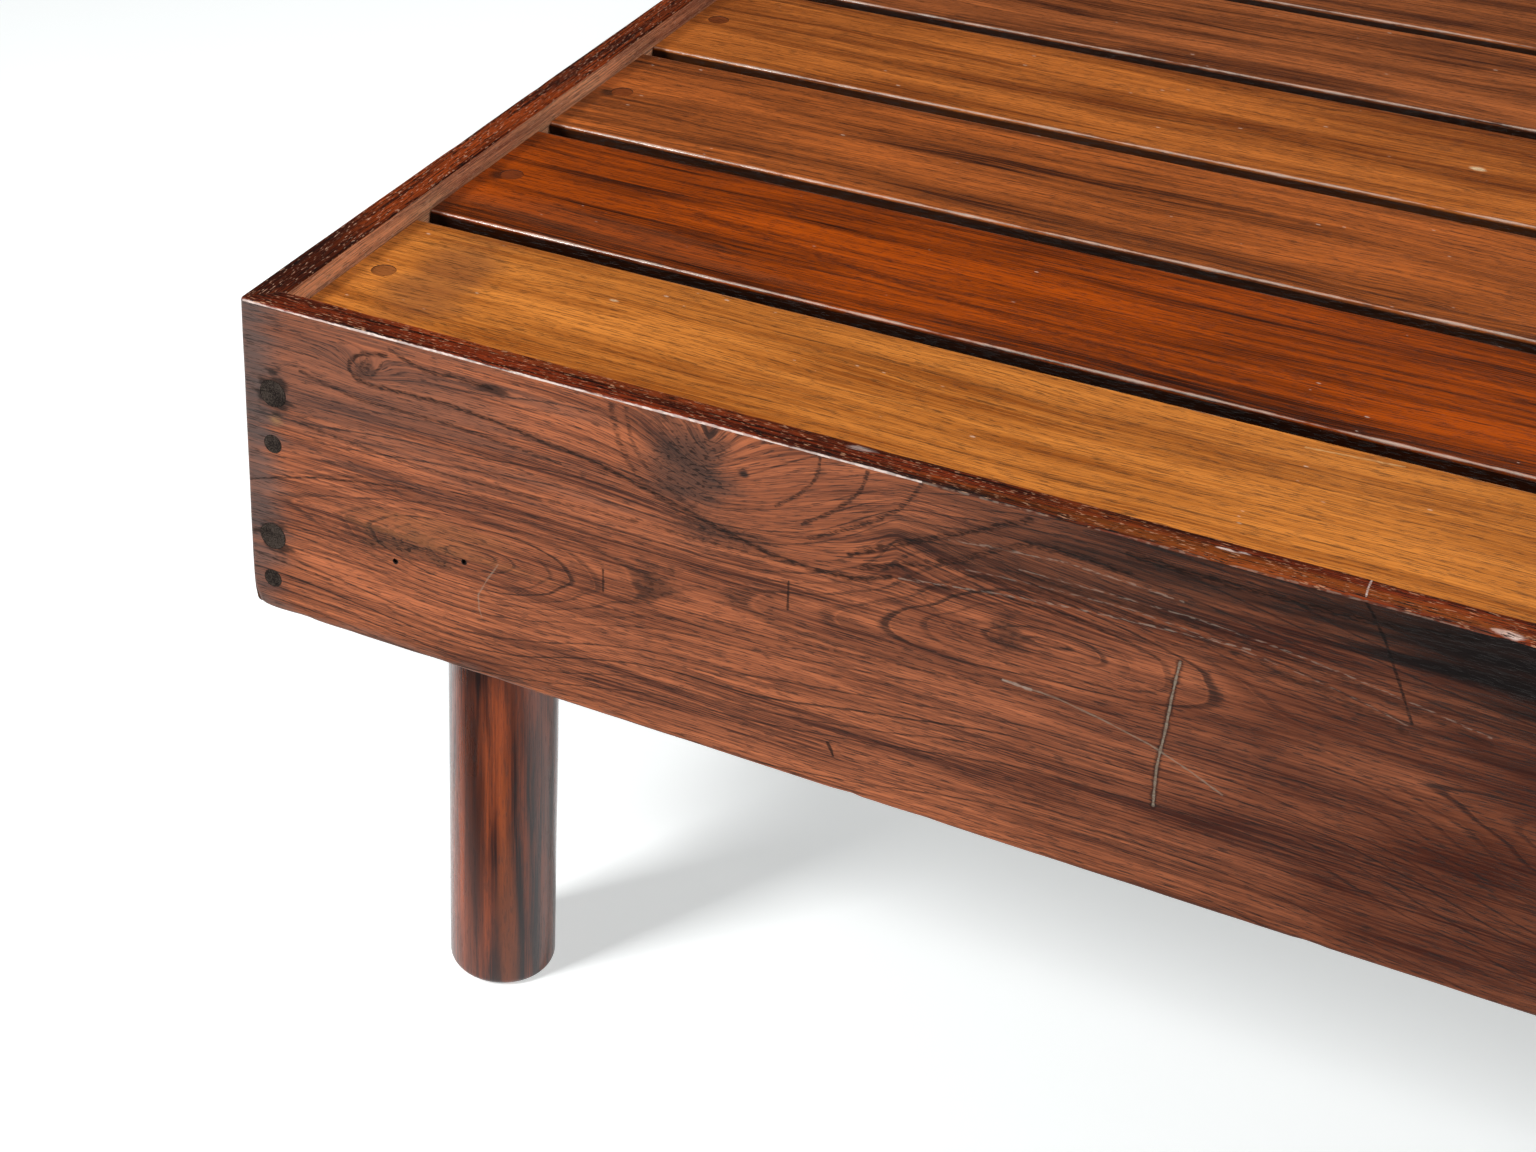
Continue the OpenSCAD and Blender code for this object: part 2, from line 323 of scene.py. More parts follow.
@cache
def knot_group() -> bpy.types.NodeTree:
    """How far one knot or eye lifts the growth layers at a place on the board.

    Returns:
        The node group.
    """
    inputs = {"Along": 0.0, "Across": 0.0, "At Along": 0.0, "At Across": 0.0, "Back": 0.05, "Ahead": 0.05,
              "Reach": 0.02, "Height": 0.03}
    sheet, given, result = new_tree("knot", "ShaderNodeTree", inputs, {"Rise": Kind.NUMBER})
    along = sheet.minus(given["Along"], given["At Along"])
    across = sheet.minus(given["Across"], given["At Across"])
    forward = sheet.math("GREATER_THAN", along, 0.0)
    spread = sheet.minus(given["Ahead"], given["Back"])
    reach = sheet.scaled(forward, spread, given["Back"])
    far = sheet.math("POWER", sheet.math("ABSOLUTE", sheet.math("DIVIDE", along, reach)), 1.25)
    wide = sheet.math("POWER", sheet.math("ABSOLUTE", sheet.math("DIVIDE", across, given["Reach"])), 2.0)
    fall = sheet.math("EXPONENT", sheet.times(sheet.math("ADD", far, wide), -1.0))
    sheet.feed(result.inputs["Rise"], sheet.times(fall, given["Height"]))
    return sheet.tree


@cache
def patch_group() -> bpy.types.NodeTree:
    """Soft-edged oval round a place on the board, torn by Rag, from 0 outside to 1 in its middle.

    Returns:
        The node group.
    """
    inputs = {"Here": NOWHERE, "Middle": NOWHERE, "Size": (0.03, 0.02, 1.0), "Ragged": 0.5, "Rag": 0.0}
    sheet, given, result = new_tree("patch", "ShaderNodeTree", inputs, {"Mask": Kind.NUMBER})
    offset = sheet.vector("SUBTRACT", given["Here"], given["Middle"])
    far = sheet.vector("LENGTH", sheet.vector("DIVIDE", offset, given["Size"]))
    ragged = sheet.scaled(given["Rag"], given["Ragged"], far)
    sheet.feed(result.inputs["Mask"], sheet.smooth(ragged, 1.15, 0.3))
    return sheet.tree


@cache
def scratch_group() -> bpy.types.NodeTree:
    """Thin line between two places on the board, drawn thinner by Wander and broken up by Gaps.

    Each step depends on the line's own places, so that a material can hold many of them.

    Returns:
        The node group.
    """
    inputs = {"Here": NOWHERE, "From": NOWHERE, "To": NOWHERE, "Width": 0.0005, "Wander": 1.0, "Gaps": 0.0,
              "Broken": 0.5, "Strength": 1.0}
    sheet, given, result = new_tree("scratch", "ShaderNodeTree", inputs, {"Mask": Kind.NUMBER})
    offset = sheet.vector("SUBTRACT", given["Here"], given["From"])
    line = sheet.vector("SUBTRACT", given["To"], given["From"])
    length = sheet.vector("DOT_PRODUCT", line, line)
    passed = sheet.vector("DOT_PRODUCT", offset, line)
    share = sheet.add("ShaderNodeClamp", {0: sheet.math("DIVIDE", passed, length)})
    nearest = sheet.add("ShaderNodeVectorMath", {0: line, 3: share.outputs[0]}, operation="SCALE").outputs[0]
    far = sheet.times(sheet.vector("DISTANCE", offset, nearest), given["Wander"])
    thin = sheet.smooth(sheet.math("DIVIDE", far, given["Width"]), 1.0, 0.3)
    lost = sheet.times(sheet.times(thin, given["Gaps"]), given["Broken"])
    kept = sheet.minus(thin, lost)
    sheet.feed(result.inputs["Mask"], sheet.times(kept, given["Strength"]))
    return sheet.tree


@cache
def edge_wear_and_highlight_group() -> bpy.types.NodeTree:
    """Mask of a strip along a board's two long arrises, uneven where the noise is: wear, and on the slats and
    lips a painted highlight.

    Returns:
        The node group.
    """
    inputs = {"Along": 0.0, "Across": 0.0, "Deep": 0.0, "Width": 0.1, "Reach": 0.002, "Uneven": 1.0}
    sheet, given, result = new_tree("edge wear", "ShaderNodeTree", inputs, {"Mask": Kind.NUMBER})
    place = sheet.combine(given["Along"], sheet.times(given["Across"], 4.0), 0.0)
    broad = sheet.minus(sheet.noise(place, 24.0, 4.0, 0.65), 0.5)
    scale = sheet.scaled(broad, sheet.times(given["Uneven"], 4.0), 1.0)
    reach = sheet.math("MAXIMUM", sheet.times(given["Reach"], scale), 0.00002)
    edge = sheet.math("MINIMUM", given["Across"], sheet.minus(given["Width"], given["Across"]))
    far = sheet.vector("LENGTH", sheet.combine(edge, given["Deep"], 0.0))
    sheet.feed(result.inputs["Mask"], sheet.smooth(far, reach, 0.0))
    return sheet.tree


@cache
def speck_group() -> bpy.types.NodeTree:
    """Small scattered specks of dust or bare wood, a little drawn out along the grain.

    Returns:
        The node group.
    """
    inputs = {"Along": 0.0, "Across": 0.0, "Deep": 0.0, "Count": 170.0, "Size": 0.13, "Seed": 0.0}
    sheet, given, result = new_tree("specks", "ShaderNodeTree", inputs, {"Mask": Kind.NUMBER})
    drawn_out = sheet.scaled(given["Along"], 0.45, given["Seed"])
    place = sheet.combine(drawn_out, given["Across"], given["Deep"])
    cells = sheet.add("ShaderNodeTexVoronoi", {"Vector": place, "Scale": given["Count"]})
    chance = sheet.add("ShaderNodeSeparateColor", {0: cells.outputs["Color"]}).outputs[0]
    size = sheet.times(given["Size"], sheet.smooth(chance, 0.72, 1.0))
    edge = sheet.math("ADD", size, 0.001)
    mask = sheet.smooth(cells.outputs["Distance"], edge, sheet.times(size, 0.5))
    sheet.feed(result.inputs["Mask"], mask)
    return sheet.tree


# Finishes

def new_material(name: str) -> tuple[bpy.types.Material, Sheet, bpy.types.Node]:
    """Starts a material.

    Args:
        name: Its name.

    Returns:
        The material, its nodes and its shader.
    """
    made = bpy.data.materials.new(name)
    made.use_nodes = True
    return made, Sheet(made.node_tree), made.node_tree.nodes["Principled BSDF"]


@dataclass(frozen=True)
class Board:
    """How a pattern lies on a face: its first corner, the way the grain runs and the way across it."""

    start: Point
    along: Point
    across: Point
    width: float


@dataclass(frozen=True)
class Knot:
    """A knot or eye that the growth layers bend round, with its place and reach in millimetres."""

    along: float
    across: float
    back: float
    ahead: float
    reach: float
    height: float


@dataclass(frozen=True)
class Heart:
    """Line along a board that its growth layers nest round, closing into eyes on it, in millimetres.

    Each bend gives where it starts and ends along the board and how far it shifts the line, and
    each eye its place along the board and its spread.
    """

    start: float
    bends: tuple[Point, ...]
    eyes: tuple[Spot, ...]
    depth: float = 26.0


class Rag(Enum):
    """How a patch's outline is torn, as features a metre along and across the board."""

    STREAKY = (7.0, 120.0)
    COARSE = (16.0, 44.0)
    FINE = (80.0, 190.0)


@dataclass(frozen=True)
class Patch:
    """An oval of another colour, with its place and half sizes in millimetres."""

    along: float
    across: float
    long: float
    tall: float
    colour: Paint
    strength: float = 0.7
    ragged: float = 0.5
    rag: Rag = Rag.FINE
    pitted: float = 0.0

    @property
    def reach(self) -> float:
        """How far the torn oval can reach along the board from its middle."""
        return self.long * (1.15 + 1.2 * self.ragged)


@dataclass(frozen=True)
class LineMark:
    """A scratch, crack or painted highlight line through a few places, in millimetres along and across the
    board.
    """

    places: tuple[Spot, ...]
    width: float
    colour: Paint
    strength: float = 0.8
    broken: float = 0.5


def rounded(places: Sequence[Spot]) -> tuple[Spot, ...]:
    """Adds a place between each two of a line, so that it bends smoothly.

    Args:
        places: The places of the line.

    Returns:
        The longer line.
    """
    ends = (places[0], *places, places[-1])
    line = [places[0]]
    for before, first, second, after in zip(ends, ends[1:], ends[2:], ends[3:]):
        line.append(tuple((9 * (q + r) - p - s) / 16 for p, q, r, s in zip(before, first, second, after)))
        line.append(second)
    return tuple(line)


@dataclass(frozen=True)
class Tones:
    """The colours of one wood."""

    dark: Paint
    light: Paint
    line: Paint
    pore: Paint
    wear_and_highlight: Paint


def tones(*screen: Sequence[int]) -> Tones:
    """Makes the colours of a wood from its five screen colours, in the order of its fields."""
    return Tones(*(paint(*colour) for colour in screen))


@dataclass(frozen=True)
class Wood:
    """Finish of one wooden face."""

    name: str
    board: Board
    tones: Tones
    seed: float = 0.0
    ring_gap: float = 3.0 * MM
    coarse: float = 1.0
    tone_share: float = 0.6
    streak_share: float = 0.5
    fibre_share: float = 0.7
    ring_amount: float = 0.6
    pore_amount: float = 0.6
    glint_fleck_amount: float = 0.0
    speck_amount: float = 0.0
    wobble: float = 4.0 * MM
    edge_reach: float = 0.0
    edge_amount: float = 0.5
    edge_gloss: float = 0.0
    side_dark_and_shade: float = 0.0
    roughness: float = 0.42
    coat: float = 0.3
    coat_roughness: float = 0.2
    specular: float = 0.4
    bump: float = 0.5
    knots: tuple[Knot, ...] = ()
    heart: Heart | None = None
    patches: tuple[Patch, ...] = ()
    line_marks: tuple[LineMark, ...] = ()
    overlap: float = 5.0

    def material(self) -> bpy.types.Material:
        """Builds the material once, and finds it again by its name after that.

        Returns:
            The material.
        """
        if self.name in bpy.data.materials:
            return bpy.data.materials[self.name]
        made, sheet, shader = new_material(self.name)
        place = self._place(sheet)
        along, across, deep = place
        bent = self._bent(sheet, place)
        layer = self._layer(sheet, along, bent)
        grain = sheet.group(grain_group(), Along=along, Across=bent, Layer=layer, Deep=deep, Seed=self.seed,
                            Ring_Gap=self.ring_gap, Coarse=self.coarse).outputs
        colour = self._wood_colour(sheet, grain)
        here = sheet.combine(along, across, 0.0)
        colour, hollow = self._with_patches(sheet, colour, here)
        colour = self._with_pores(sheet, colour, grain)
        colour, arris_wear_and_highlight = self._with_wear_highlight_and_shade(sheet, colour, place)
        colour, hollow = self._with_line_marks(sheet, colour, hollow, here)
        sheet.feed(shader.inputs["Base Color"], colour)
        sheet.feed(shader.inputs["Roughness"], self._roughness(sheet, grain, place))
        shader.inputs["Specular IOR Level"].default_value = self.specular
        shader.inputs["Coat Weight"].default_value = self.coat
        if arris_wear_and_highlight and self.edge_gloss:
            glossy = sheet.scaled(arris_wear_and_highlight, self.edge_gloss, self.coat)
            sheet.feed(shader.inputs["Coat Weight"], glossy)
        shader.inputs["Coat Roughness"].default_value = self.coat_roughness
        self._relief(sheet, shader, grain, hollow)
        return made

    def stretch(self, number: int, first: float, last: float) -> "Wood":
        """Gives the finish of one stretch of the board, with only the figures that reach it.

        Args:
            number: Number of the stretch, for its name.
            first: Where it starts along the board, in millimetres.
            last: Where it ends.

        Returns:
            The same finish with fewer patches and scratches.
        """
        patches = tuple(patch for patch in self.patches
                        if patch.along + patch.reach > first and patch.along - patch.reach < last)
        line_marks: list[LineMark] = []
        for scratch in self.line_marks:
            line = rounded(scratch.places)
            line_marks += [replace(scratch, places=pair) for pair in zip(line, line[1:])
                          if max(pair)[0] > first - self.overlap and min(pair)[0] < last + self.overlap]
        return replace(self, name=f"{self.name}_{number}", patches=patches, line_marks=tuple(line_marks))

    def _place(self, sheet: Sheet) -> Place:
        """Gives the place on the board along, across and into it, in metres.

        Args:
            sheet: The material's nodes.

        Returns:
            The place with the grain, across the board and into the wood.
        """
        here = sheet.add("ShaderNodeTexCoord").outputs["Object"]
        start = Vector(self.board.start)
        mapped = sheet.add("ShaderNodeMapping", {"Vector": here, "Location": -start}).outputs[0]
        axes = [Vector(self.board.along), Vector(self.board.across)]
        axes.append(axes[0].cross(axes[1]))
        along, across, deep = (sheet.vector("DOT_PRODUCT", mapped, axis) for axis in axes)
        return along, across, deep

    def _bent(self, sheet: Sheet, place: Place) -> Socket:
        """Gives the place across the fibres, which a slow wobble and the knots bend.

        Args:
            sheet: The material's nodes.
            place: Place with the grain, across the board and into the wood.

        Returns:
            The bent place across the fibres.
        """
        along, across, deep = place
        slow = sheet.combine(sheet.scaled(along, 4.0, self.seed), sheet.times(across, 14.0),
                             sheet.times(deep, 14.0))
        swing = sheet.minus(sheet.noise(slow, 1.0, 2.0), 0.5)
        wobble = sheet.times(swing, 4.0 * self.wobble)
        parts = [across, wobble]
        for knot in self.knots:
            rise = sheet.group(knot_group(), Along=along, Across=across, At_Along=knot.along * MM,
                               At_Across=knot.across * MM, Back=knot.back * MM, Ahead=knot.ahead * MM,
                               Reach=knot.reach * MM, Height=-knot.height * MM)
            parts.append(rise.outputs[0])
        return sheet.total(parts)

    def _layer(self, sheet: Sheet, along: Socket, bent: Socket) -> Socket:
        """Counts the growth layers out from the heart line, or across the board where there is none.

        Args:
            sheet: The material's nodes.
            along: Place with the grain.
            bent: Bent place across the fibres.

        Returns:
            Distance across the growth layers.
        """
        if not self.heart:
            return bent
        line: Value = self.heart.start * MM
        for first, last, change in self.heart.bends:
            share = sheet.smooth(along, first * MM, last * MM)
            line = sheet.scaled(share, change * MM, line)
        depth: Value = self.heart.depth * MM
        for place, spread in self.heart.eyes:
            far = sheet.math("DIVIDE", sheet.minus(along, place * MM), spread * MM)
            far = sheet.math("POWER", sheet.math("ABSOLUTE", far), 1.5)
            fall = sheet.math("EXPONENT", sheet.times(far, -1.0))
            depth = sheet.times(depth, sheet.minus(1.0, fall))
        return sheet.vector("LENGTH", sheet.combine(sheet.minus(bent, line), depth, 0.0))

    def _wood_colour(self, sheet: Sheet, grain: bpy.types.NodeOutputs) -> Socket:
        """Colours the broad tones, the streaks, the fibre and the rings.

        Args:
            sheet: The material's nodes.
            grain: The grain group's outputs.

        Returns:
            The colour.
        """
        shares = {"Tone": self.tone_share, "Streak": self.streak_share, "Fibre": self.fibre_share}
        light: Value = 0.5 - sum(shares.values()) / 2
        for name, share in shares.items():
            light = sheet.scaled(grain[name], share, light)
        base = sheet.mix(light, self.tones.dark, self.tones.light)
        return sheet.mix(sheet.times(grain["Rings"], self.ring_amount), base, self.tones.line)

    def _with_patches(self, sheet: Sheet, colour: Socket, here: Socket) -> tuple[Socket, Value]:
        """Lays the patches over a colour, and gives how deep the pits are that some of them have.

        Args:
            sheet: The material's nodes.
            colour: The colour so far.
            here: Place on the board's face.

        Returns:
            The new colour and the depth of the pits.
        """
        hollow: Value = 0.0
        rags: dict[Rag, Socket] = {}
        dots = None
        for patch in self.patches:
            if patch.rag not in rags:
                torn = sheet.noise(sheet.vector("MULTIPLY", here, (*patch.rag.value, 0.0)), detail=3.0)
                rags[patch.rag] = sheet.scaled(torn, 3.0, -1.5)
            mask = sheet.group(patch_group(), Here=here, Middle=(patch.along * MM, patch.across * MM, 0),
                               Size=(patch.long * MM, patch.tall * MM, 1), Ragged=patch.ragged,
                               Rag=rags[patch.rag]).outputs[0]
            colour = sheet.mix(sheet.times(mask, patch.strength), colour, patch.colour)
            if patch.pitted:
                if dots is None:
                    spots = sheet.vector("MULTIPLY", here, (300.0, 760.0, 0.0))
                    dots = sheet.smooth(sheet.noise(spots, detail=1.0), 0.54, 0.64)
                pit = sheet.times(dots, mask)
                colour = sheet.mix(sheet.times(pit, patch.pitted), colour, self.tones.pore)
                hollow = sheet.math("ADD", pit, hollow)
        return colour, hollow

    def _with_pores(self, sheet: Sheet, colour: Socket, grain: bpy.types.NodeOutputs) -> Socket:
        """Draws the open pores, and pale flecks that paint glints of the finish.

        Args:
            sheet: The material's nodes.
            colour: The colour so far.
            grain: The grain group's outputs.

        Returns:
            The new colour.
        """
        colour = sheet.mix(sheet.times(grain["Pores"], self.pore_amount), colour, self.tones.pore)
        if self.glint_fleck_amount:
            # Pale flecks in the colour: painted glints
            glint_flecks = sheet.times(grain["Flecks"], self.glint_fleck_amount)
            colour = sheet.mix(glint_flecks, colour, self.tones.wear_and_highlight)
        return colour

    def _with_wear_highlight_and_shade(self, sheet: Sheet, colour: Socket, place: Place) -> tuple[Socket, Socket | None]:
        """Rubs and paints a highlight on the arrises, adds specks, and darkens the sides: painted shade and
        darker wood.

        Args:
            sheet: The material's nodes.
            colour: The colour so far.
            place: Place with the grain, across the board and into the wood.

        Returns:
            The new colour, and the mask of the arrises, worn and with a painted highlight, where there is
            one.
        """
        along, across, deep = place
        arris_wear_and_highlight = None
        # Painted shade in the gaps between the slats, over darker unfinished wood: the sides below the
        # arrises darken
        if self.side_dark_and_shade:
            below = sheet.smooth(sheet.math("ABSOLUTE", deep), 0.9 * MM, 2.2 * MM)
            colour = sheet.mix(sheet.times(below, self.side_dark_and_shade), colour, self.tones.pore)
        if self.edge_reach:
            arris_wear_and_highlight = sheet.group(edge_wear_and_highlight_group(), Along=along, Across=across, Deep=deep, Width=self.board.width,
                                 Reach=self.edge_reach).outputs[0]
            # The arris colour is wear, and on the slats and the lips also a painted highlight
            colour = sheet.mix(sheet.times(arris_wear_and_highlight, self.edge_amount), colour, self.tones.wear_and_highlight)
        if self.speck_amount:
            mask = sheet.group(speck_group(), Along=along, Across=across, Seed=self.seed)
            specks = sheet.times(mask.outputs[0], self.speck_amount)
            colour = sheet.mix(specks, colour, self.tones.wear_and_highlight)
        return colour, arris_wear_and_highlight

    def _with_line_marks(self, sheet: Sheet, colour: Socket, hollow: Value, here: Socket
                        ) -> tuple[Socket, Value]:
        """Draws the scratches and painted highlight lines, and adds them to how deep the surface is hollowed.

        Args:
            sheet: The material's nodes.
            colour: The colour so far.
            hollow: Depth of the hollows so far.
            here: Place on the board's face.

        Returns:
            The new colour and the new depth.
        """
        if not self.line_marks:
            return colour, hollow
        wander = sheet.math("DIVIDE", 0.5, sheet.noise(here, 260.0, 2.0))
        dashes = sheet.noise(sheet.vector("MULTIPLY", here, (230.0, 1200.0, 0.0)), detail=1.0)
        gaps = sheet.smooth(dashes, 0.56, 0.44)
        for ink in dict.fromkeys(scratch.colour for scratch in self.line_marks):
            drawn: Value = 0.0
            for scratch in self.line_marks:
                if scratch.colour != ink:
                    continue
                line = [(along * MM, across * MM, 0) for along, across in scratch.places]
                for first, second in zip(line, line[1:]):
                    part = sheet.group(scratch_group(), Here=here, Wander=wander, Gaps=gaps, From=first,
                                       To=second, Width=scratch.width * MM, Broken=scratch.broken,
                                       Strength=scratch.strength)
                    drawn = sheet.math("MAXIMUM", part.outputs[0], drawn)
            colour = sheet.mix(drawn, colour, ink)
            hollow = sheet.math("ADD", drawn, hollow)
        return colour, hollow

    def _roughness(self, sheet: Sheet, grain: bpy.types.NodeOutputs, place: Place) -> Socket:
        """Makes the pores and some hazy areas duller than the rest.

        Args:
            sheet: The material's nodes.
            grain: The grain group's outputs.
            place: Place with the grain, across the board and into the wood.

        Returns:
            The roughness.
        """
        along, across, deep = place
        broad = sheet.combine(sheet.times(along, 5.0), sheet.times(across, 16.0), deep)
        haze = sheet.scaled(sheet.noise(broad, 1.0, 4.0), 0.3, self.roughness - 0.15)
        return sheet.scaled(grain["Pores"], 0.2, haze)

    def _relief(self, sheet: Sheet, shader: bpy.types.Node, grain: bpy.types.NodeOutputs,
                hollow: Value) -> None:
        """Sinks pores, pits, scratches and painted highlight lines a little into the surface, and raises the
        fibre.

        Args:
            sheet: The material's nodes.
            shader: The material's shader.
            grain: The grain group's outputs.
            hollow: Depth of the pits, scratches and painted highlight lines.
        """
        height = sheet.times(grain["Pores"], -1.0)
        height = sheet.scaled(grain["Fibre"], 0.4, height)
        height = sheet.scaled(hollow, -1.2, height)
        feeds = {"Height": height, "Strength": self.bump, "Distance": 0.15 * MM}
        sheet.feed(shader.inputs["Normal"], sheet.add("ShaderNodeBump", feeds).outputs[0])


@dataclass(frozen=True)
class Metal:
    """Finish of the hidden screws, bolts, pins and inserts."""

    name: str
    colour: Paint
    stain: Paint
    roughness: float = 0.35

    def material(self) -> bpy.types.Material:
        """Builds the material once, and finds it again by its name after that.

        Returns:
            The material.
        """
        if self.name in bpy.data.materials:
            return bpy.data.materials[self.name]
        made, sheet, shader = new_material(self.name)
        here = sheet.add("ShaderNodeTexCoord").outputs["Object"]
        stain = sheet.smooth(sheet.noise(here, 140.0, 4.0, 0.65), 0.48, 0.66)
        shader.inputs["Metallic"].default_value = 1.0
        sheet.feed(shader.inputs["Base Color"], sheet.mix(stain, self.colour, self.stain))
        sheet.feed(shader.inputs["Roughness"], sheet.scaled(stain, 0.3, self.roughness))
        turned = sheet.noise(sheet.vector("MULTIPLY", here, (400.0, 400.0, 3000.0)), 1.0, 2.0)
        bump = sheet.add("ShaderNodeBump", {"Height": turned, "Strength": 0.3, "Distance": 0.05 * MM})
        sheet.feed(shader.inputs["Normal"], bump.outputs[0])
        return made


# Colours from the photograph's warm, reddish wood

RAIL_TONES = tones((84, 44, 31), (194, 110, 68), (42, 25, 19), (30, 19, 15), (184, 116, 80))
LIP_TONES = tones((30, 9, 5), (128, 48, 20), (22, 8, 5), (8, 4, 3), (214, 160, 124))
SIDE_LIP_TONES = tones((44, 13, 7), (158, 66, 22), (34, 11, 6), (14, 6, 4), (224, 176, 146))
# The inner faces' tones are made lighter as painted light falling on them
INNER_TONES_WITH_PAINTED_LIGHT = tones((146, 82, 54), (248, 176, 128), (86, 44, 32), (64, 30, 22), (236, 206, 184))
HIDDEN_TONES = tones((86, 52, 36), (130, 84, 58), (60, 34, 24), (44, 26, 18), (140, 100, 76))
LEG_TONES = tones((48, 15, 10), (172, 78, 32), (34, 11, 7), (26, 10, 7), (150, 96, 74))
PLUG_TONES = tones((32, 26, 23), (72, 62, 55), (22, 18, 16), (12, 10, 9), (120, 106, 96))
BORE_TONES = tones((30, 18, 13), (48, 28, 20), (20, 12, 9), (16, 9, 7), (60, 40, 30))

STEEL = Metal("brushed_steel", paint(150, 150, 152), paint(84, 74, 66))
BRASS = Metal("turned_brass", paint(196, 160, 92), paint(120, 92, 48), 0.3)


# Mesh helpers

def solids(node: str) -> list[Box]:
    """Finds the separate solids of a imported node.

    Args:
        node: The node's name.

    Returns:
        The lowest and highest corner of each solid, in the order of their places.
    """
    mesh = bmesh.new()
    mesh.from_mesh(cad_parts[node].data)
    bmesh.ops.remove_doubles(mesh, verts=mesh.verts, dist=1e-6)
    left = set(mesh.verts)
    boxes = []
    while left:
        todo = [left.pop()]
        low, high = todo[0].co.copy(), todo[0].co.copy()
        while todo:
            vert = todo.pop()
            low, high = Vector(map(min, low, vert.co)), Vector(map(max, high, vert.co))
            for edge in vert.link_edges:
                other = edge.other_vert(vert)
                if other in left:
                    left.remove(other)
                    todo.append(other)
        boxes.append((low, high))
    mesh.free()
    return sorted(boxes, key=lambda box: tuple(round(value, 4) for value in box[0]))


def new_piece(name: str, data: bpy.types.ID) -> bpy.types.Object:
    """Puts a mesh, camera or light in the scene as an object at the origin.

    Args:
        name: The object's name.
        data: The mesh, camera or light.

    Returns:
        The object.
    """
    piece = bpy.data.objects.new(name, data)
    bpy.context.scene.collection.objects.link(piece)
    return piece


def settle(piece: bpy.types.Object) -> None:
    """Bakes a piece's modifiers into its mesh and removes them.

    Args:
        piece: The piece.
    """
    depsgraph = bpy.context.evaluated_depsgraph_get()
    mesh = bpy.data.meshes.new_from_object(piece.evaluated_get(depsgraph), depsgraph=depsgraph)
    piece.modifiers.clear()
    piece.data = mesh


def hand_over(piece: bpy.types.Object, node: str) -> None:
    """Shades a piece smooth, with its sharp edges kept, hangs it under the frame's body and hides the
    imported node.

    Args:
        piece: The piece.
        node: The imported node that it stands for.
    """
    piece.data.polygons.foreach_set("use_smooth", [True] * len(piece.data.polygons))
    piece.data.set_sharp_from_angle(angle=SHARP_ANGLE)
    piece.data.update()
    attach(piece, BODY)
    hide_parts(node)
    LOG.info("%s: %d faces, stands for %s", piece.name, len(piece.data.polygons), node)


def finished(name: str, mesh: bmesh.types.BMesh, material: bpy.types.Material) -> bpy.types.Mesh:
    """Ends the work on a mesh.

    Args:
        name: Name of the finished mesh.
        mesh: The mesh under work, which is freed.
        material: Its only material.

    Returns:
        The finished mesh.
    """
    data = bpy.data.meshes.new(name)
    mesh.to_mesh(data)
    mesh.free()
    data.materials.clear()
    data.materials.append(material)
    return data


@dataclass(frozen=True)
class Bore:
    """A round, stepped hole: its mouth, the way that it runs, and the depth and radius of each step."""

    mouth: Vector
    way: Vector
    steps: tuple[Spot, ...]
    sides: int = 26

    def box(self) -> Box:
        """Gives the lowest and highest corner of the hole.

        Returns:
            The two corners.
        """
        end = self.mouth + self.way * self.steps[-1][0]
        room = Vector((1, 1, 1)) * max(radius for _, radius in self.steps)
        return Vector(map(min, self.mouth, end)) - room, Vector(map(max, self.mouth, end)) + room

    def touches(self, low: Vector, high: Vector) -> bool:
        """Says whether the hole's box meets another box."""
        return all(b > lo and a < hi for a, b, lo, hi in zip(*self.box(), low, high))

    def add_to(self, mesh: bmesh.types.BMesh) -> None:
        """Adds the closed, turned shape of the hole to a mesh.

        Args:
            mesh: The mesh.
        """
        turn = self.way.to_track_quat("Z", "Y").to_matrix()
        outline = [(0.0, self.steps[0][1])]
        for (depth, radius), after in zip(self.steps, [*self.steps[1:], (0.0, 0.0)]):
            outline.append((depth, radius))
            if after[1]:
                outline.append((depth, after[1]))
        rings = []
        for depth, radius in outline:
            ring = []
            for i in range(self.sides):
                angle = math.tau * i / self.sides
                spot = Vector((radius * math.cos(angle), radius * math.sin(angle), depth))
                ring.append(mesh.verts.new(self.mouth + turn @ spot))
            rings.append(ring)
        for lower, upper in zip(rings, rings[1:]):
            for i in range(self.sides):
                j = (i + 1) % self.sides
                mesh.faces.new((lower[i], lower[j], upper[j], upper[i]))
        mesh.faces.new(reversed(rings[0]))
        mesh.faces.new(rings[-1])


def cut(piece: bpy.types.Object, bores: Sequence[Bore], inside: bpy.types.Material) -> None:
    """Drills bores into a piece.

    Args:
        piece: The piece, whose mesh is replaced.
        bores: The bores, which don't cross each other.
        inside: The material of their walls.
    """
    if not bores:
        return
    mesh = bmesh.new()
    for bore in bores:
        bore.add_to(mesh)
    drill = new_piece("drill", finished("drill", mesh, inside))
    modifier = piece.modifiers.new("bores", "BOOLEAN")
    modifier.operation = "DIFFERENCE"
    modifier.solver = "EXACT"
    modifier.material_mode = "TRANSFER"
    modifier.object = drill
    settle(piece)
    bpy.data.objects.remove(drill)


def walls(rows: int, count: int) -> list[tuple[int, ...]]:
    """Lists the faces between rings of points, each ring closed.

    Args:
        rows: How many rings there are.
        count: How many points each ring has.

    Returns:
        The corners of each face.
    """
    faces: list[tuple[int, ...]] = []
    for row in range(0, (rows - 1) * count, count):
        after = row + count
        faces += [(row + k, after + k, after + (k + 1) % count, row + (k + 1) % count) for k in range(count)]
    return faces


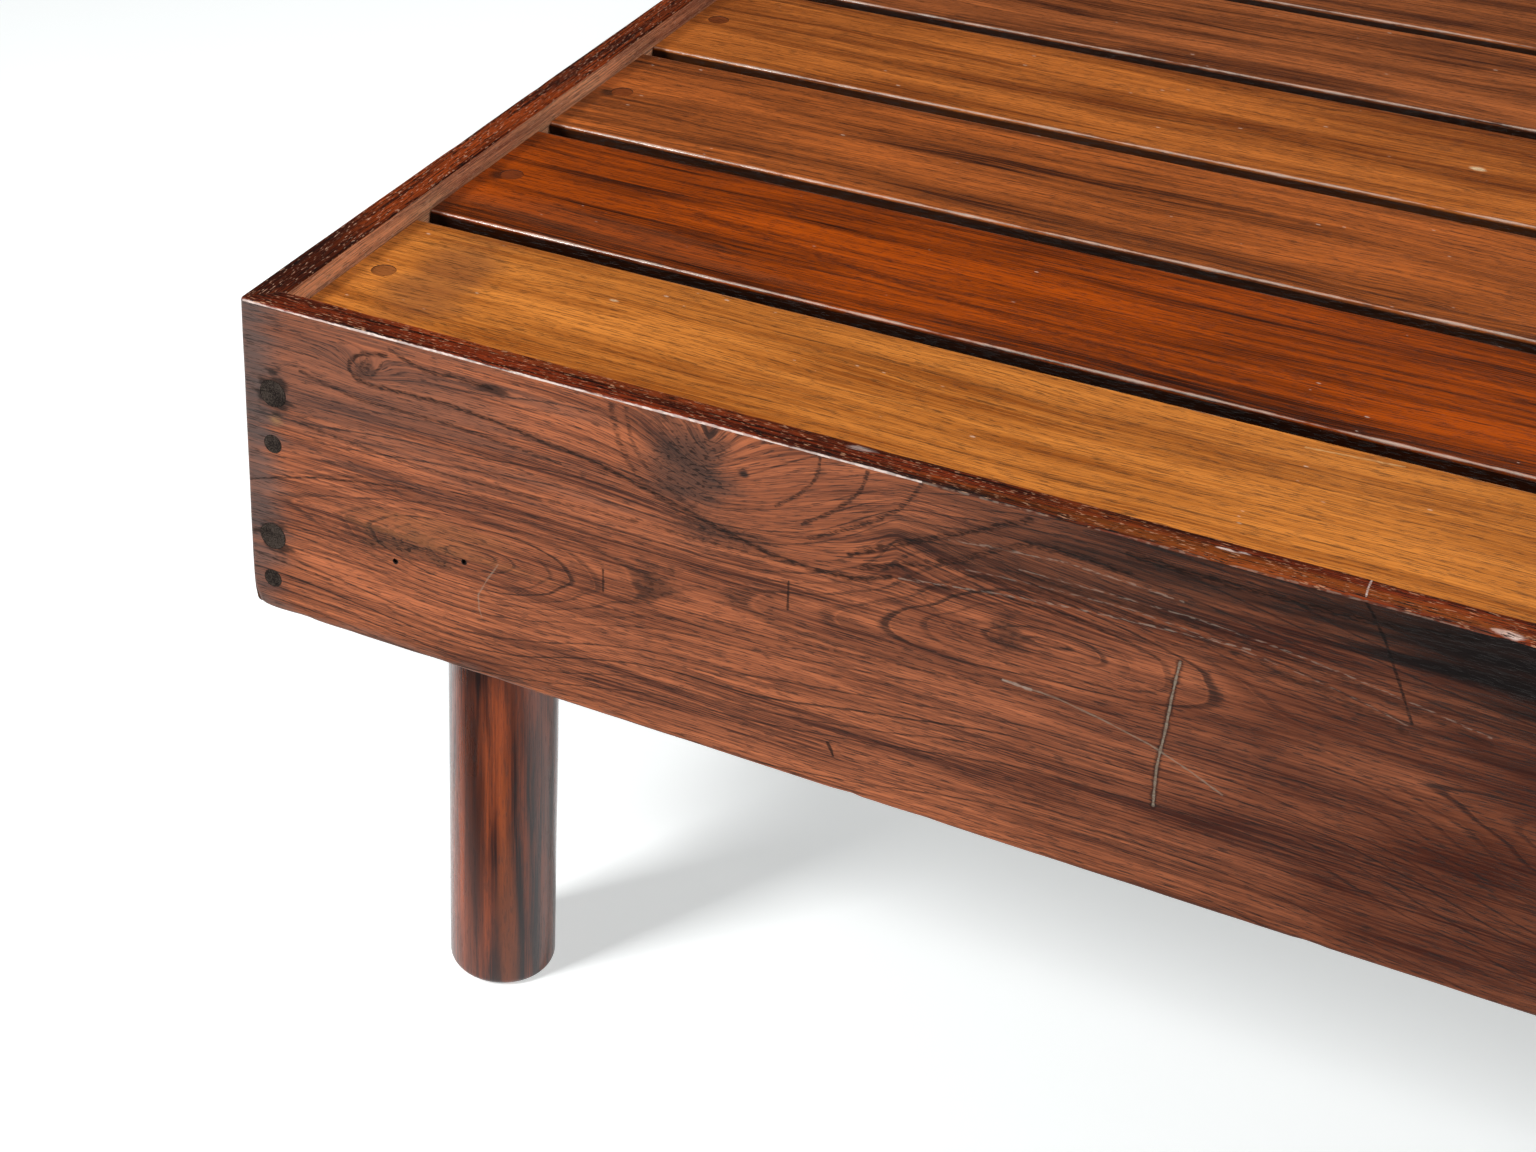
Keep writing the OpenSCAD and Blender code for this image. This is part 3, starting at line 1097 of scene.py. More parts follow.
class Waves:
    """Smooth, seeded unevenness, as a sum of slanted waves."""

    def __init__(self, seed: int, size: float, count: int = 9) -> None:
        """Draws the waves.

        Args:
            seed: Seed of the draw.
            size: Rough length of a wave.
            count: How many waves are added up.
        """
        draw = np.random.RandomState(seed)
        self.turns = draw.uniform(0.4, 1.9, (count, 2)) * draw.choice([-1, 1], (count, 2)) * math.tau / size
        self.starts = draw.uniform(0, math.tau, count)

    def at(self, first: np.ndarray, second: np.ndarray) -> np.ndarray:
        """Gives values of about -1 to 1 at places given by two coordinates."""
        parts = [np.sin(first * a + second * b + start) for (a, b), start in zip(self.turns, self.starts)]
        return np.sum(parts, axis=0) / math.sqrt(2 * len(parts))


# Rails

class RailPart(Enum):
    """The faces of a rail that have a finish of their own, in the order of the material slots."""

    FACE = 0
    LIP = 1
    INNER = 2
    HIDDEN = 3


class RailSide(Enum):
    """The four rails: how each runs, seen from outside from its left end, and the way into the bed."""

    FOOT = ((1, 0, 0), (0, 1, 0))
    HEAD = ((-1, 0, 0), (0, -1, 0))
    LEFT = ((0, -1, 0), (1, 0, 0))
    RIGHT = ((0, 1, 0), (-1, 0, 0))

    @property
    def along(self) -> Vector:
        """The way from the left end to the right end, seen from outside."""
        return Vector(self.value[0])

    @property
    def inward(self) -> Vector:
        """The way from the outer face into the bed."""
        return Vector(self.value[1])


@dataclass(frozen=True)
class Dent:
    """A hollow in a rail's outer side, with its place and half sizes in millimetres."""

    along: float
    down: float
    long: float
    tall: float
    depth: float


@dataclass(frozen=True)
class Figure:
    """What shows on a rail's face, and the hollows in it.

    The zones are the places along it, in millimetres, where a new stretch of the finish starts.
    """

    knots: tuple[Knot, ...]
    heart: Heart
    patches: tuple[Patch, ...] = ()
    line_marks: tuple[LineMark, ...] = ()
    dents: tuple[Dent, ...] = ()
    zones: tuple[float, ...] = ()


@dataclass
class Rail:
    """A tall rail, mitred at both ends, with a rebate for the slats inside its lip."""

    node: str
    side: RailSide
    slot: str
    finishes: dict[RailPart, Wood]
    figure: Figure
    seed: int
    length: float
    height: float = 166 * MM
    thick: float = 40 * MM
    lip: float = 15.5 * MM
    rebate: float = 30 * MM
    top_round: float = 1.5 * MM
    bottom_round: float = 3.0 * MM
    corner_round: float = 2.5 * MM
    mitre_gap: float = 0.08 * MM
    step: float = 5.0 * MM
    hidden_step: float = 30.0 * MM
    end_length: float = 10.0 * MM
    end_stations: tuple[float, ...] = (0, 0.5, 1, 1.5, 2, 2.5, 3, 4.5, 7)
    chip_count: int = 60
    bores: list[Bore] = field(default_factory=list)

    def _section(self) -> tuple[np.ndarray, list[RailPart]]:
        """Draws the cross section, up the outer face, over the lip and back under the rail.

        Returns:
            Depth and height of each point, and the part that starts at it.
        """
        points: list[Spot] = []
        parts: list[RailPart] = []

        def straight(first: Spot, last: Spot, part: RailPart, step: float = self.step) -> None:
            """Adds a straight run without its last point.

            Args:
                first: Where it starts.
                last: Where it ends.
                part: The part that it belongs to.
                step: Rough distance between its points.
            """
            count = max(1, round(math.dist(first, last) / step))
            for i in range(count):
                share = i / count
                points.append(tuple(a + (b - a) * share for a, b in zip(first, last)))
                parts.append(part)

        def bend(centre: Spot, radius: float, first: float, last: float, count: int, part: RailPart) -> None:
            """Adds an arc without its last point, its angles in degrees.

            Args:
                centre: Middle of the arc.
                radius: Its radius.
                first: Its first angle.
                last: Its last angle.
                count: Its number of points.
                part: The part that it belongs to.
            """
            for i in range(count):
                angle = math.radians(first + (last - first) * i / count)
                points.append((centre[0] + radius * math.cos(angle), centre[1] + radius * math.sin(angle)))
                parts.append(part)

        near, top = INSET, self.height - 0.3 * INSET
        top_r, low_r, ledge = self.top_round, self.bottom_round, self.height - self.rebate
        straight((near, low_r), (near, top - top_r), RailPart.FACE)
        bend((near + top_r, top - top_r), top_r, 180, 90, 5, RailPart.LIP)
        straight((near + top_r, top), (self.lip - top_r, top), RailPart.LIP)
        bend((self.lip - top_r, top - top_r), top_r, 90, 0, 5, RailPart.LIP)
        straight((self.lip, top - top_r), (self.lip, ledge), RailPart.INNER)
        straight((self.lip, ledge), (self.thick, ledge), RailPart.HIDDEN, self.hidden_step)
        straight((self.thick, ledge), (self.thick, 0), RailPart.HIDDEN, self.hidden_step)
        straight((self.thick, 0), (near + low_r, 0), RailPart.HIDDEN, self.hidden_step)
        bend((near + low_r, low_r), low_r, 270, 180, 6, RailPart.FACE)
        return np.array(points), parts

    def _stations(self) -> np.ndarray:
        """Shares of the length at which the section is placed, close together at the ends.

        Returns:
            The shares, from 0 to 1.
        """
        ends = np.array(self.end_stations) * MM / self.length
        count = round(self.length / self.step)
        middle = np.linspace(self.end_length, self.length - self.end_length, count) / self.length
        return np.concatenate([ends, middle, 1 - ends[::-1]])

    def _wear(self, along: np.ndarray, depth: np.ndarray, height: np.ndarray) -> np.ndarray:
        """Works out how far the surface is worn back at each point.

        Args:
            along: Distance from the left end.
            depth: Distance from the outer face.
            height: Height above the rail's bottom.

        Returns:
            The wear in metres, never negative.
        """
        draw = np.random.RandomState(self.seed)
        waves = Waves(self.seed, 90 * MM)
        wear = 0.05 * MM * (1 + np.clip(waves.at(along, height * 1.7 + depth), -1, 1))
        arrises = [(0.0, self.height, 0.4), (self.lip, self.height, 0.3), (0.0, 0.0, 0.45)]
        for edge_depth, edge_height, amount in arrises:
            near = np.exp(-(np.hypot(depth - edge_depth, height - edge_height) / (3.2 * MM)) ** 2)
            places = draw.uniform(0, self.length, self.chip_count)
            widths = draw.uniform(0.7, 1.8, self.chip_count) * self.step
            depths = draw.uniform(0.1, 1.0, self.chip_count) ** 3 * amount * MM
            chips = sum(d * np.exp(-((along - p) / w) ** 2) for p, w, d in zip(places, widths, depths))
            wear += near * np.minimum(chips, 1.6 * amount * MM)
        for dent in self.figure.dents:
            far = np.hypot((along - dent.along * MM) / (dent.long * MM),
                           (self.height - height - dent.down * MM) / (dent.tall * MM))
            wear += dent.depth * MM * np.exp(-far ** 2) * (depth < self.lip / 2)
        return wear

    def _round_corners(self, along: np.ndarray, depth: np.ndarray, height: np.ndarray
                       ) -> tuple[np.ndarray, np.ndarray]:
        """Rounds the upright corners of the frame, more so at the bottom.

        Args:
            along: Distance from the left end.
            depth: Distance from the outer face.
            height: Height above the rail's bottom.

        Returns:
            The new distances along and from the outer face.
        """
        radius = self.corner_round * (1 + 2.2 * np.exp(-height / (7 * MM)))
        for mirrored in (False, True):
            from_end = self.length - along if mirrored else along
            first, second = radius - from_end, radius - depth
            inside = (first > 0) & (second > 0)
            size = np.where(inside, np.hypot(first, second), 1.0)
            scale = np.where(inside, np.maximum(first, second) / np.maximum(size, 1e-9), 1.0)
            from_end = np.where(inside, radius - first * scale, from_end)
            depth = np.where(inside, radius - second * scale, depth)
            along = self.length - from_end if mirrored else from_end
        return along, depth

    def build(self) -> None:
        """Builds, drills and dresses the rail."""
        section, parts = self._section()
        count = len(section)
        tangent = np.roll(section, -1, axis=0) - np.roll(section, 1, axis=0)
        tangent /= np.linalg.norm(tangent, axis=1)[:, None]
        shares = self._stations()[:, None]
        depth = np.broadcast_to(section[:, 0], (len(shares), count))
        height = np.broadcast_to(section[:, 1], (len(shares), count))
        mitre = depth + self.mitre_gap
        along = mitre + shares * (self.length - 2 * mitre)
        wear = self._wear(along, depth, height)
        depth = depth + wear * tangent[:, 1]
        height = height - wear * tangent[:, 0]
        mitre = depth + self.mitre_gap
        along = mitre + shares * (self.length - 2 * mitre)
        along, depth = self._round_corners(along, depth, height)
        low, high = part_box(self.node)
        middle = (low + high) / 2
        start = middle - self.side.along * self.length / 2 - self.side.inward * self.thick / 2
        start.z = low.z
        places = (np.array(start) + along[..., None] * np.array(self.side.along)
                  + depth[..., None] * np.array(self.side.inward) + height[..., None] * np.array((0, 0, 1)))
        rows = len(shares)
        faces = walls(rows, count)
        zones = self.figure.zones
        zone = np.searchsorted(zones, (shares[1:, 0] + shares[:-1, 0]) / 2 * self.length / MM)
        face_slots = (RailPart.FACE.value, *range(len(RailPart), len(RailPart) + len(zones)))
        slots = [face_slots[z] for z in zone]
        materials = [slot if part is RailPart.FACE else part.value for slot in slots for part in parts]
        faces += [tuple(range(count)), tuple(reversed(range((rows - 1) * count, rows * count)))]
        materials += [RailPart.HIDDEN.value] * 2
        mesh = bpy.data.meshes.new(self.node)
        mesh.from_pydata(places.reshape(-1, 3).tolist(), [], faces)
        limits = (-math.inf, *zones, math.inf)
        face = self.finishes[RailPart.FACE]
        stretches = [face.stretch(i, *pair) for i, pair in enumerate(zip(limits, limits[1:]))]
        others = [self.finishes[part] for part in RailPart if part is not RailPart.FACE]
        for finish in (stretches[0], *others, *stretches[1:]):
            mesh.materials.append(finish.material())
        mesh.polygons.foreach_set("material_index", materials)
        piece = new_piece(self.node + "_wood", mesh)
        cut(piece, self.bores, bore_finish().material())
        hand_over(piece, self.node)


# Slats

@cache
def slat_tree() -> bpy.types.NodeTree:
    """A board swept along X: rounded upper edges, a slow wave, and worn arrises.

    Returns:
        The node group.
    """
    inputs = {"Length": 0.9, "Width": 0.113, "Thickness": 0.018, "Edge Radius": 0.0025, "Wave": 0.0003,
              "Seed": 0.0, "Wood": Kind.FINISH}
    sheet, given, result = new_tree("slat", "GeometryNodeTree", inputs, {"Slat": Kind.SHAPE})
    half = sheet.times(given["Length"], 0.5)
    start = sheet.combine(sheet.times(half, -1.0), 0.0, 0.0)
    end = sheet.combine(half, 0.0, 0.0)
    line = sheet.add("GeometryNodeCurvePrimitiveLine", {"Start": start, "End": end})
    path = sheet.add("GeometryNodeResampleCurve", {"Curve": line.outputs[0], "Count": 152})
    box = sheet.add("GeometryNodeCurvePrimitiveQuadrilateral", {
        "Width": given["Width"], "Height": given["Thickness"]})
    odd = sheet.math("MODULO", sheet.add("GeometryNodeInputIndex").outputs[0], 2.0)
    parted = sheet.add("GeometryNodeSubdivideCurve", {
        "Curve": box.outputs[0], "Cuts": sheet.scaled(odd, -7.0, 7.0)})
    position = sheet.add("GeometryNodeInputPosition").outputs[0]
    upper = sheet.math("LESS_THAN", sheet.add("ShaderNodeSeparateXYZ", {0: position}).outputs[1], 0.0)
    radius = sheet.math("MAXIMUM", sheet.times(upper, given["Edge Radius"]), 0.0006)
    rounded = sheet.add("GeometryNodeFilletCurve", {"Curve": parted.outputs[0], "Count": 4, "Radius": radius},
                        mode="POLY")
    swept = sheet.add("GeometryNodeCurveToMesh", {
        "Curve": path.outputs[0], "Profile Curve": rounded.outputs[0], "Fill Caps": True})
    merged = sheet.add("GeometryNodeMergeByDistance", {"Geometry": swept.outputs[0], "Distance": 0.00001})
    turned = sheet.add("GeometryNodeFlipFaces", {"Mesh": merged.outputs[0]})
    place = sheet.vector("ADD", sheet.vector("MULTIPLY", position, (7.0, 12.0, 12.0)),
                         sheet.combine(given["Seed"], given["Seed"], 0.0))
    fine = sheet.vector("ADD", sheet.vector("MULTIPLY", position, (60.0, 90.0, 90.0)),
                        sheet.combine(given["Seed"], 0.0, given["Seed"]))
    slow = sheet.noise(place, 1.0, 1.0)
    sag = sheet.math("ADD", slow, sheet.times(sheet.noise(fine, 1.0, 2.0), 0.25))
    inward = sheet.times(sag, sheet.times(given["Wave"], -1.0))
    normal = sheet.add("GeometryNodeInputNormal").outputs[0]
    shift = sheet.vector("MULTIPLY", sheet.vector("MULTIPLY", normal, (0.0, 1.0, 1.0)),
                         sheet.combine(0.0, inward, inward))
    moved = sheet.add("GeometryNodeSetPosition", {"Geometry": turned.outputs[0], "Offset": shift})
    real = sheet.add("GeometryNodeRealizeInstances", {"Geometry": moved.outputs[0]})
    dressed = sheet.add("GeometryNodeSetMaterial", {"Geometry": real.outputs[0], "Material": given["Wood"]})
    sheet.feed(result.inputs[0], dressed.outputs[0])
    return sheet.tree


def grown(name: str, tree: bpy.types.NodeTree, base: bpy.types.Mesh | None = None, **values: object
          ) -> bpy.types.Object:
    """Makes a piece from a geometry node tree.

    Args:
        name: The piece's name.
        tree: The tree.
        base: The mesh that the tree starts from, where it reads one.
        **values: The modifier's inputs, an underscore standing for a space.

    Returns:
        The piece with a plain mesh and no modifier.
    """
    piece = new_piece(name, base or bpy.data.meshes.new(name))
    modifier = piece.modifiers.new("nodes", "NODES")
    modifier.node_group = tree
    identifiers = {item.name: item.identifier for item in tree.interface.items_tree if item.in_out == "INPUT"}
    for label, value in values.items():
        modifier[identifiers[label.replace("_", " ")]] = value
    settle(piece)
    return piece


@dataclass
class Slat:
    """A cross slat that lies on the side rails, inside their lips."""

    number: int
    finish: Wood
    bores: list[Bore]
    edge_radius: float = 1.3 * MM
    wave: float = 0.35 * MM

    @property
    def node(self) -> str:
        """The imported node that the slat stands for."""
        return f"slat_{self.number:02d}"

    def build(self) -> None:
        """Builds, drills and dresses the slat."""
        low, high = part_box(self.node)
        size = high - low
        piece = grown(self.node + "_wood", slat_tree(), Length=size.x, Width=size.y, Thickness=size.z,
                      Edge_Radius=self.edge_radius, Wave=self.wave, Seed=float(self.number * 7),
                      Wood=self.finish.material())
        piece.data.transform(Matrix.Translation((low + high) / 2))
        cut(piece, self.bores, bore_finish().material())
        hand_over(piece, self.node)


# Legs and blocks

@dataclass
class Leg:
    """A plain round leg, bored from above for its bolt."""

    node: str
    finish: Wood
    seed: int
    edge_radius: float = 4.5 * MM
    bore_radius: float = 5.1 * MM
    bore_depth: float = 50.1 * MM
    uneven: float = 0.25 * MM
    sides: int = 72
    step: float = 4.0 * MM

    def build(self) -> None:
        """Turns the leg, with a hand-worked unevenness, and dresses it."""
        low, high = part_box(self.node)
        radius, height = (high.x - low.x) / 2, high.z - low.z
        centre = Vector(((low.x + high.x) / 2, (low.y + high.y) / 2, low.z))
        outline = [((radius - self.edge_radius) * share, 0.0) for share in (0.35, 0.7, 0.9)]
        for i in range(7):
            angle = math.pi / 2 * i / 7
            back, up = self.edge_radius * (1 - math.sin(angle)), self.edge_radius * (1 - math.cos(angle))
            outline.append((radius - back, up))
        straight = height - self.edge_radius
        steps = round(straight / self.step)
        outline += [(radius, self.edge_radius + straight * i / steps) for i in range(steps + 1)]
        outline += [(self.bore_radius, height), (self.bore_radius, height - self.bore_depth)]
        radii = np.array([point[0] for point in outline])[:, None]
        heights = np.array([point[1] for point in outline])[:, None]
        angles = np.arange(self.sides)[None, :] * math.tau / self.sides
        waves = Waves(self.seed, 160 * MM)
        sides = radius * np.cos(angles + 0 * heights)
        uneven = self.uneven * np.clip(1 + waves.at(heights + 0 * angles, sides), 0, 2)
        outer = (radii > self.bore_radius + MM) & (heights > 0)
        turned = radii - np.where(outer, uneven / 2, 0)
        places = np.stack([turned * np.cos(angles), turned * np.sin(angles), heights + 0 * angles], axis=-1)
        count, rows = self.sides, len(outline)
        vertices = [*places.reshape(-1, 3).tolist(), (0, 0, 0), (0, 0, height - self.bore_depth)]
        faces = [(a, d, c, b) for a, b, c, d in walls(rows, count)]
        last = (rows - 1) * count
        faces += [(rows * count, (k + 1) % count, k) for k in range(count)]
        faces += [(rows * count + 1, last + k, last + (k + 1) % count) for k in range(count)]
        mesh = bpy.data.meshes.new(self.node)
        mesh.from_pydata(vertices, [], faces)
        mesh.transform(Matrix.Translation(centre))
        mesh.materials.append(self.finish.material())
        piece = new_piece(self.node + "_wood", mesh)
        hand_over(piece, self.node)


@dataclass
class Block:
    """A corner block behind the rails, with its arrises eased."""

    node: str
    finish: Wood
    ease: float = 0.7 * MM

    def build(self) -> None:
        """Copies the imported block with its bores, eases it and dresses it."""
        mesh = bmesh.new()
        mesh.from_mesh(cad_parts[self.node].data)
        bmesh.ops.remove_doubles(mesh, verts=mesh.verts, dist=1e-6)
        bmesh.ops.dissolve_limit(mesh, angle_limit=math.radians(1), verts=mesh.verts, edges=mesh.edges)
        piece = new_piece(self.node + "_wood", finished(self.node, mesh, self.finish.material()))
        modifier = piece.modifiers.new("eased", "BEVEL")
        modifier.width = self.ease
        modifier.segments = 2
        modifier.limit_method = "ANGLE"
        modifier.angle_limit = math.radians(60)
        settle(piece)
        hand_over(piece, self.node)


# Plugs and dowels

@cache
def peg_tree() -> bpy.types.NodeTree:
    """Pegs on points: each is a short rod along its point's normal, with a rough outer end.

    Returns:
        The node group.
    """
    inputs = {"Points": Kind.SHAPE, "Diameter": 0.012, "Length": 0.005, "Rough": 0.0002, "Wood": Kind.FINISH}
    sheet, given, result = new_tree("pegs", "GeometryNodeTree", inputs, {"Pegs": Kind.SHAPE})
    rod = sheet.add("GeometryNodeMeshCylinder", {
        "Vertices": 26, "Side Segments": 1, "Fill Segments": 3, "Depth": given["Length"],
        "Radius": sheet.times(given["Diameter"], 0.5)}, fill_type="TRIANGLE_FAN")
    position = sheet.add("GeometryNodeInputPosition").outputs[0]
    level = sheet.add("ShaderNodeSeparateXYZ", {0: position}).outputs[2]
    outer = sheet.math("GREATER_THAN", level, 0.0)
    marked = sheet.add("GeometryNodeStoreNamedAttribute", {
        "Geometry": rod.outputs[0], "Name": "outer_end", "Value": outer}, domain="POINT")
    outward = sheet.add("GeometryNodeInputNamedAttribute", {"Name": "outward"}, data_type="FLOAT_VECTOR")
    turn = sheet.add("FunctionNodeAlignRotationToVector", {"Vector": outward.outputs[0]}, axis="Z")
    points = sheet.add("GeometryNodeMeshToPoints", {"Mesh": given["Points"]})
    placed = sheet.add("GeometryNodeInstanceOnPoints", {
        "Points": points.outputs[0], "Instance": marked.outputs[0], "Rotation": turn.outputs[0]})
    real = sheet.add("GeometryNodeRealizeInstances", {"Geometry": placed.outputs[0]})
    end = sheet.add("GeometryNodeInputNamedAttribute", {"Name": "outer_end"}, data_type="FLOAT").outputs[0]
    rough = sheet.times(sheet.noise(position, 420.0, 2.0), end)
    rough = sheet.times(rough, given["Rough"])
    normal = sheet.add("GeometryNodeInputNormal").outputs[0]
    sunk = sheet.times(rough, -1.0)
    inward = sheet.add("ShaderNodeVectorMath", {0: normal, 3: sunk}, operation="SCALE")
    moved = sheet.add("GeometryNodeSetPosition", {"Geometry": real.outputs[0], "Offset": inward.outputs[0]})
    dressed = sheet.add("GeometryNodeSetMaterial", {"Geometry": moved.outputs[0], "Material": given["Wood"]})
    sheet.feed(result.inputs[0], dressed.outputs[0])
    return sheet.tree


@dataclass
class Pegs:
    """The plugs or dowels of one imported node."""

    node: str
    slot: str
    finish: Wood
    upright: bool
    rough: float = 0.35 * MM

    def build(self) -> None:
        """Builds a peg at the middle of each solid of the node and dresses them."""
        boxes = solids(self.node)
        middles = [(low + high) / 2 for low, high in boxes]
        size = boxes[0][1] - boxes[0][0]
        mesh = bpy.data.meshes.new(self.node)
        mesh.from_pydata([tuple(middle) for middle in middles], [], [])
        outward = mesh.attributes.new("outward", "FLOAT_VECTOR", "POINT")
        for item, middle in zip(outward.data, middles):
            item.vector = (0, 0, 1) if self.upright else (0, math.copysign(1, middle.y), 0)
        length = size.z if self.upright else size.y
        piece = grown(self.node + "_wood", peg_tree(), mesh, Diameter=size.x, Length=length, Rough=self.rough,
                      Wood=self.finish.material())
        piece.data.materials.pop(index=0)
        hand_over(piece, self.node)


@cache
def bore_finish() -> Wood:
    """Dark wood inside the bores."""
    board = Board((0, 0, 0), (1, 0, 0), (0, 0, -1), 1.0)
    return Wood("bore_wall", board, BORE_TONES, 31.0, roughness=0.8, coat=0.0, bump=0.3)


# The whole bed frame

@dataclass
class BedFrame:
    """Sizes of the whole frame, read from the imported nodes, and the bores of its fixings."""

    low: Vector
    high: Vector
    past: float = 1.0 * MM
    same_end: float = 0.2

    @property
    def rail_low(self) -> float:
        """Height of the rails' undersides."""
        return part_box("foot_rail")[0].z

    def rail_board(self, side: RailSide, part: RailPart) -> Board:
        """Lays the pattern of one part of one rail.

        Args:
            side: The rail.
            part: The face of the rail.

        Returns:
            The board, which starts at the rail's upper left outer corner.
        """
        middle = (self.low + self.high) / 2
        size = self.high - self.low
        length = abs(side.along.dot(size))
        start = middle - side.along * length / 2 - side.inward * abs(side.inward.dot(size)) / 2
        start.z = self.high.z
        if part is RailPart.LIP:
            return Board(tuple(start), tuple(side.along), tuple(side.inward), Rail.lip)
        return Board(tuple(start), tuple(side.along), (0, 0, -1), self.high.z - self.rail_low)

    def end_rail_bores(self) -> list[Bore]:
        """Lists the bores through the end rails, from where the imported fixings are.

        Returns:
            The bores.
        """
        found: list[Bore] = []
        sunk = solids("corner_screws")
        for node in ("corner_plugs", "corner_dowels", "block_pins"):
            for box in solids(node):
                inward = Vector((0, math.copysign(1, -box[0].y), 0))
                found.append(self._plugged(box, sunk, inward, self.high.y))
        return found

    def block_bores(self) -> list[Bore]:
        """Lists the bores in the end rails' backs for the screws through the blocks.

        Returns:
            The bores.
        """
        found: list[Bore] = []
        for low, high in solids("block_screws"):
            middle = (low + high) / 2
            outward = math.copysign(1, middle.y)
            reach = (high.y - low.y) / 2 + BORE_ROOM
            radius = (high.x - low.x) / 2 + BORE_ROOM
            found.append(Bore(middle, Vector((0, outward, 0)), ((reach, radius),)))
        return found

    def slat_bores(self) -> list[Bore]:
        """Lists the bores of the slat screws and of the plugs over them.

        Returns:
            The bores.
        """
        found: list[Bore] = []
        for side in ("left", "right"):
            sunk = solids(f"slat_screws_{side}")
            for box in solids(f"slat_plugs_{side}"):
                found.append(self._plugged(box, sunk, Vector((0, 0, -1)), box[1].z))
        return found

    def _plugged(self, box: Box, sunk: Sequence[Box], inward: Vector, surface: float) -> Bore:
        """Makes the bore of a plug, dowel or pin and of the screw behind it.

        Args:
            box: Its corners.
            sunk: The corners of all screws that may lie behind it.
            inward: The way into the wood.
            surface: How far out the wood reaches.

        Returns:
            The bore, which starts a little outside the wood.
        """
        middle = (box[0] + box[1]) / 2
        axis = 2 if inward.z else 1
        mouth = middle.copy()
        mouth[axis] = -inward[axis] * (surface + self.past)
        behind = [other for other in sunk if self._in_line(other, middle, axis)]
        return Bore(mouth, inward, tuple(self._step(*other, mouth, axis) for other in (box, *behind)))

    def _in_line(self, box: Box, middle: Vector, axis: int) -> bool:
        """Says whether a fixing lies on the same line, along an axis, and at the same end of the bed.

        Args:
            box: The fixing's corners.
            middle: Middle of the other fixing.
            axis: Number of the axis.

        Returns:
            Whether it does.
        """
        offset = (box[0] + box[1]) / 2 - middle
        beside = offset.copy()
        beside[axis] = 0
        return beside.length < MM and abs(offset[axis]) < self.same_end

    def _step(self, low: Vector, high: Vector, mouth: Vector, axis: int) -> Spot:
        """Gives a bore's depth and radius for a fixing's box, with a little room."""
        depth = max(abs(low[axis] - mouth[axis]), abs(high[axis] - mouth[axis]))
        return depth + BORE_ROOM, (high.x - low.x) / 2 + BORE_ROOM


def near(bores: Sequence[Bore], node: str) -> list[Bore]:
    """Picks the bores that meet a node's box."""
    low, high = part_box(node)
    return [bore for bore in bores if bore.touches(low, high)]


# Figures of the rails, from the photograph for the foot rail and of the same kind for the rest

FOOT_KNOTS = (
    Knot(67, 19, 12, 14, 7, 10),
    Knot(236, 20, 34, 48, 26, 26),
    Knot(322, 26, 30, 60, 20, -16),
)
FOOT_HEART = Heart(101, ((100, 240, -16), (240, 400, -25), (440, 640, 30), (700, 900, -20)),
                   ((121, 50), (390, 66), (640, 80), (850, 90)))
GREY = paint(146, 130, 112)
PALE = paint(168, 146, 130)
WHITE = paint(236, 216, 206)
BLACK = paint(22, 15, 13)
FOOT_PATCHES = (
    # Darker right part: a painted falloff of the light, over darker wood there
    Patch(790, 80, 440, 280, paint(62, 15, 5), 0.8, 0.3, Rag.COARSE),
    Patch(690, 0, 280, 62, paint(15, 13, 14), 0.95, 0.5, Rag.STREAKY),
    Patch(530, 4, 130, 26, paint(24, 19, 19), 0.75, 0.9, Rag.STREAKY),
    Patch(400, 16, 90, 24, paint(48, 31, 26), 0.55, 0.9, Rag.STREAKY),
    Patch(272, 30, 34, 24, paint(158, 88, 54), 0.4, 0.4, Rag.COARSE),
    Patch(224, 22, 28, 32, paint(78, 56, 48), 0.85, 0.7, Rag.COARSE, 0.75),
    Patch(250, 52, 24, 7, paint(60, 42, 35), 0.5, 0.7, Rag.STREAKY, 0.5),
    # Grey on the left part and its end: a painted haze of reflection, the upper left also darker
    Patch(30, 30, 150, 50, paint(88, 66, 58), 0.5, 0.8, Rag.STREAKY),
    Patch(0, 70, 24, 190, paint(82, 75, 73), 0.7, 0.5, Rag.STREAKY),
    Patch(40, 166, 190, 6, paint(104, 84, 76), 0.5, 0.6, Rag.FINE),
    Patch(214, 88, 12, 13, paint(52, 35, 29), 0.6, 1, Rag.FINE, 0.5),
    Patch(86, 106, 32, 11, paint(72, 52, 38), 0.55, 1, Rag.FINE, 0.8),
    Patch(110, 96, 50, 9, paint(178, 108, 62), 0.35, 1.2, Rag.STREAKY),
    Patch(17, 60, 5, 3, paint(150, 110, 70), 0.7, 0.8, Rag.FINE),
    Patch(67, 20, 7, 5, paint(58, 42, 36), 0.6, 0.9, Rag.FINE, 0.6),
    Patch(132, 12, 8, 3.5, paint(36, 27, 24), 0.8, 0.9, Rag.FINE),
    Patch(372, 62, 8, 10, paint(50, 32, 26), 0.5, 1, Rag.FINE, 0.4),
    Patch(253, 20, 3, 3, paint(44, 34, 32), 0.9, 0.8, Rag.FINE),
)
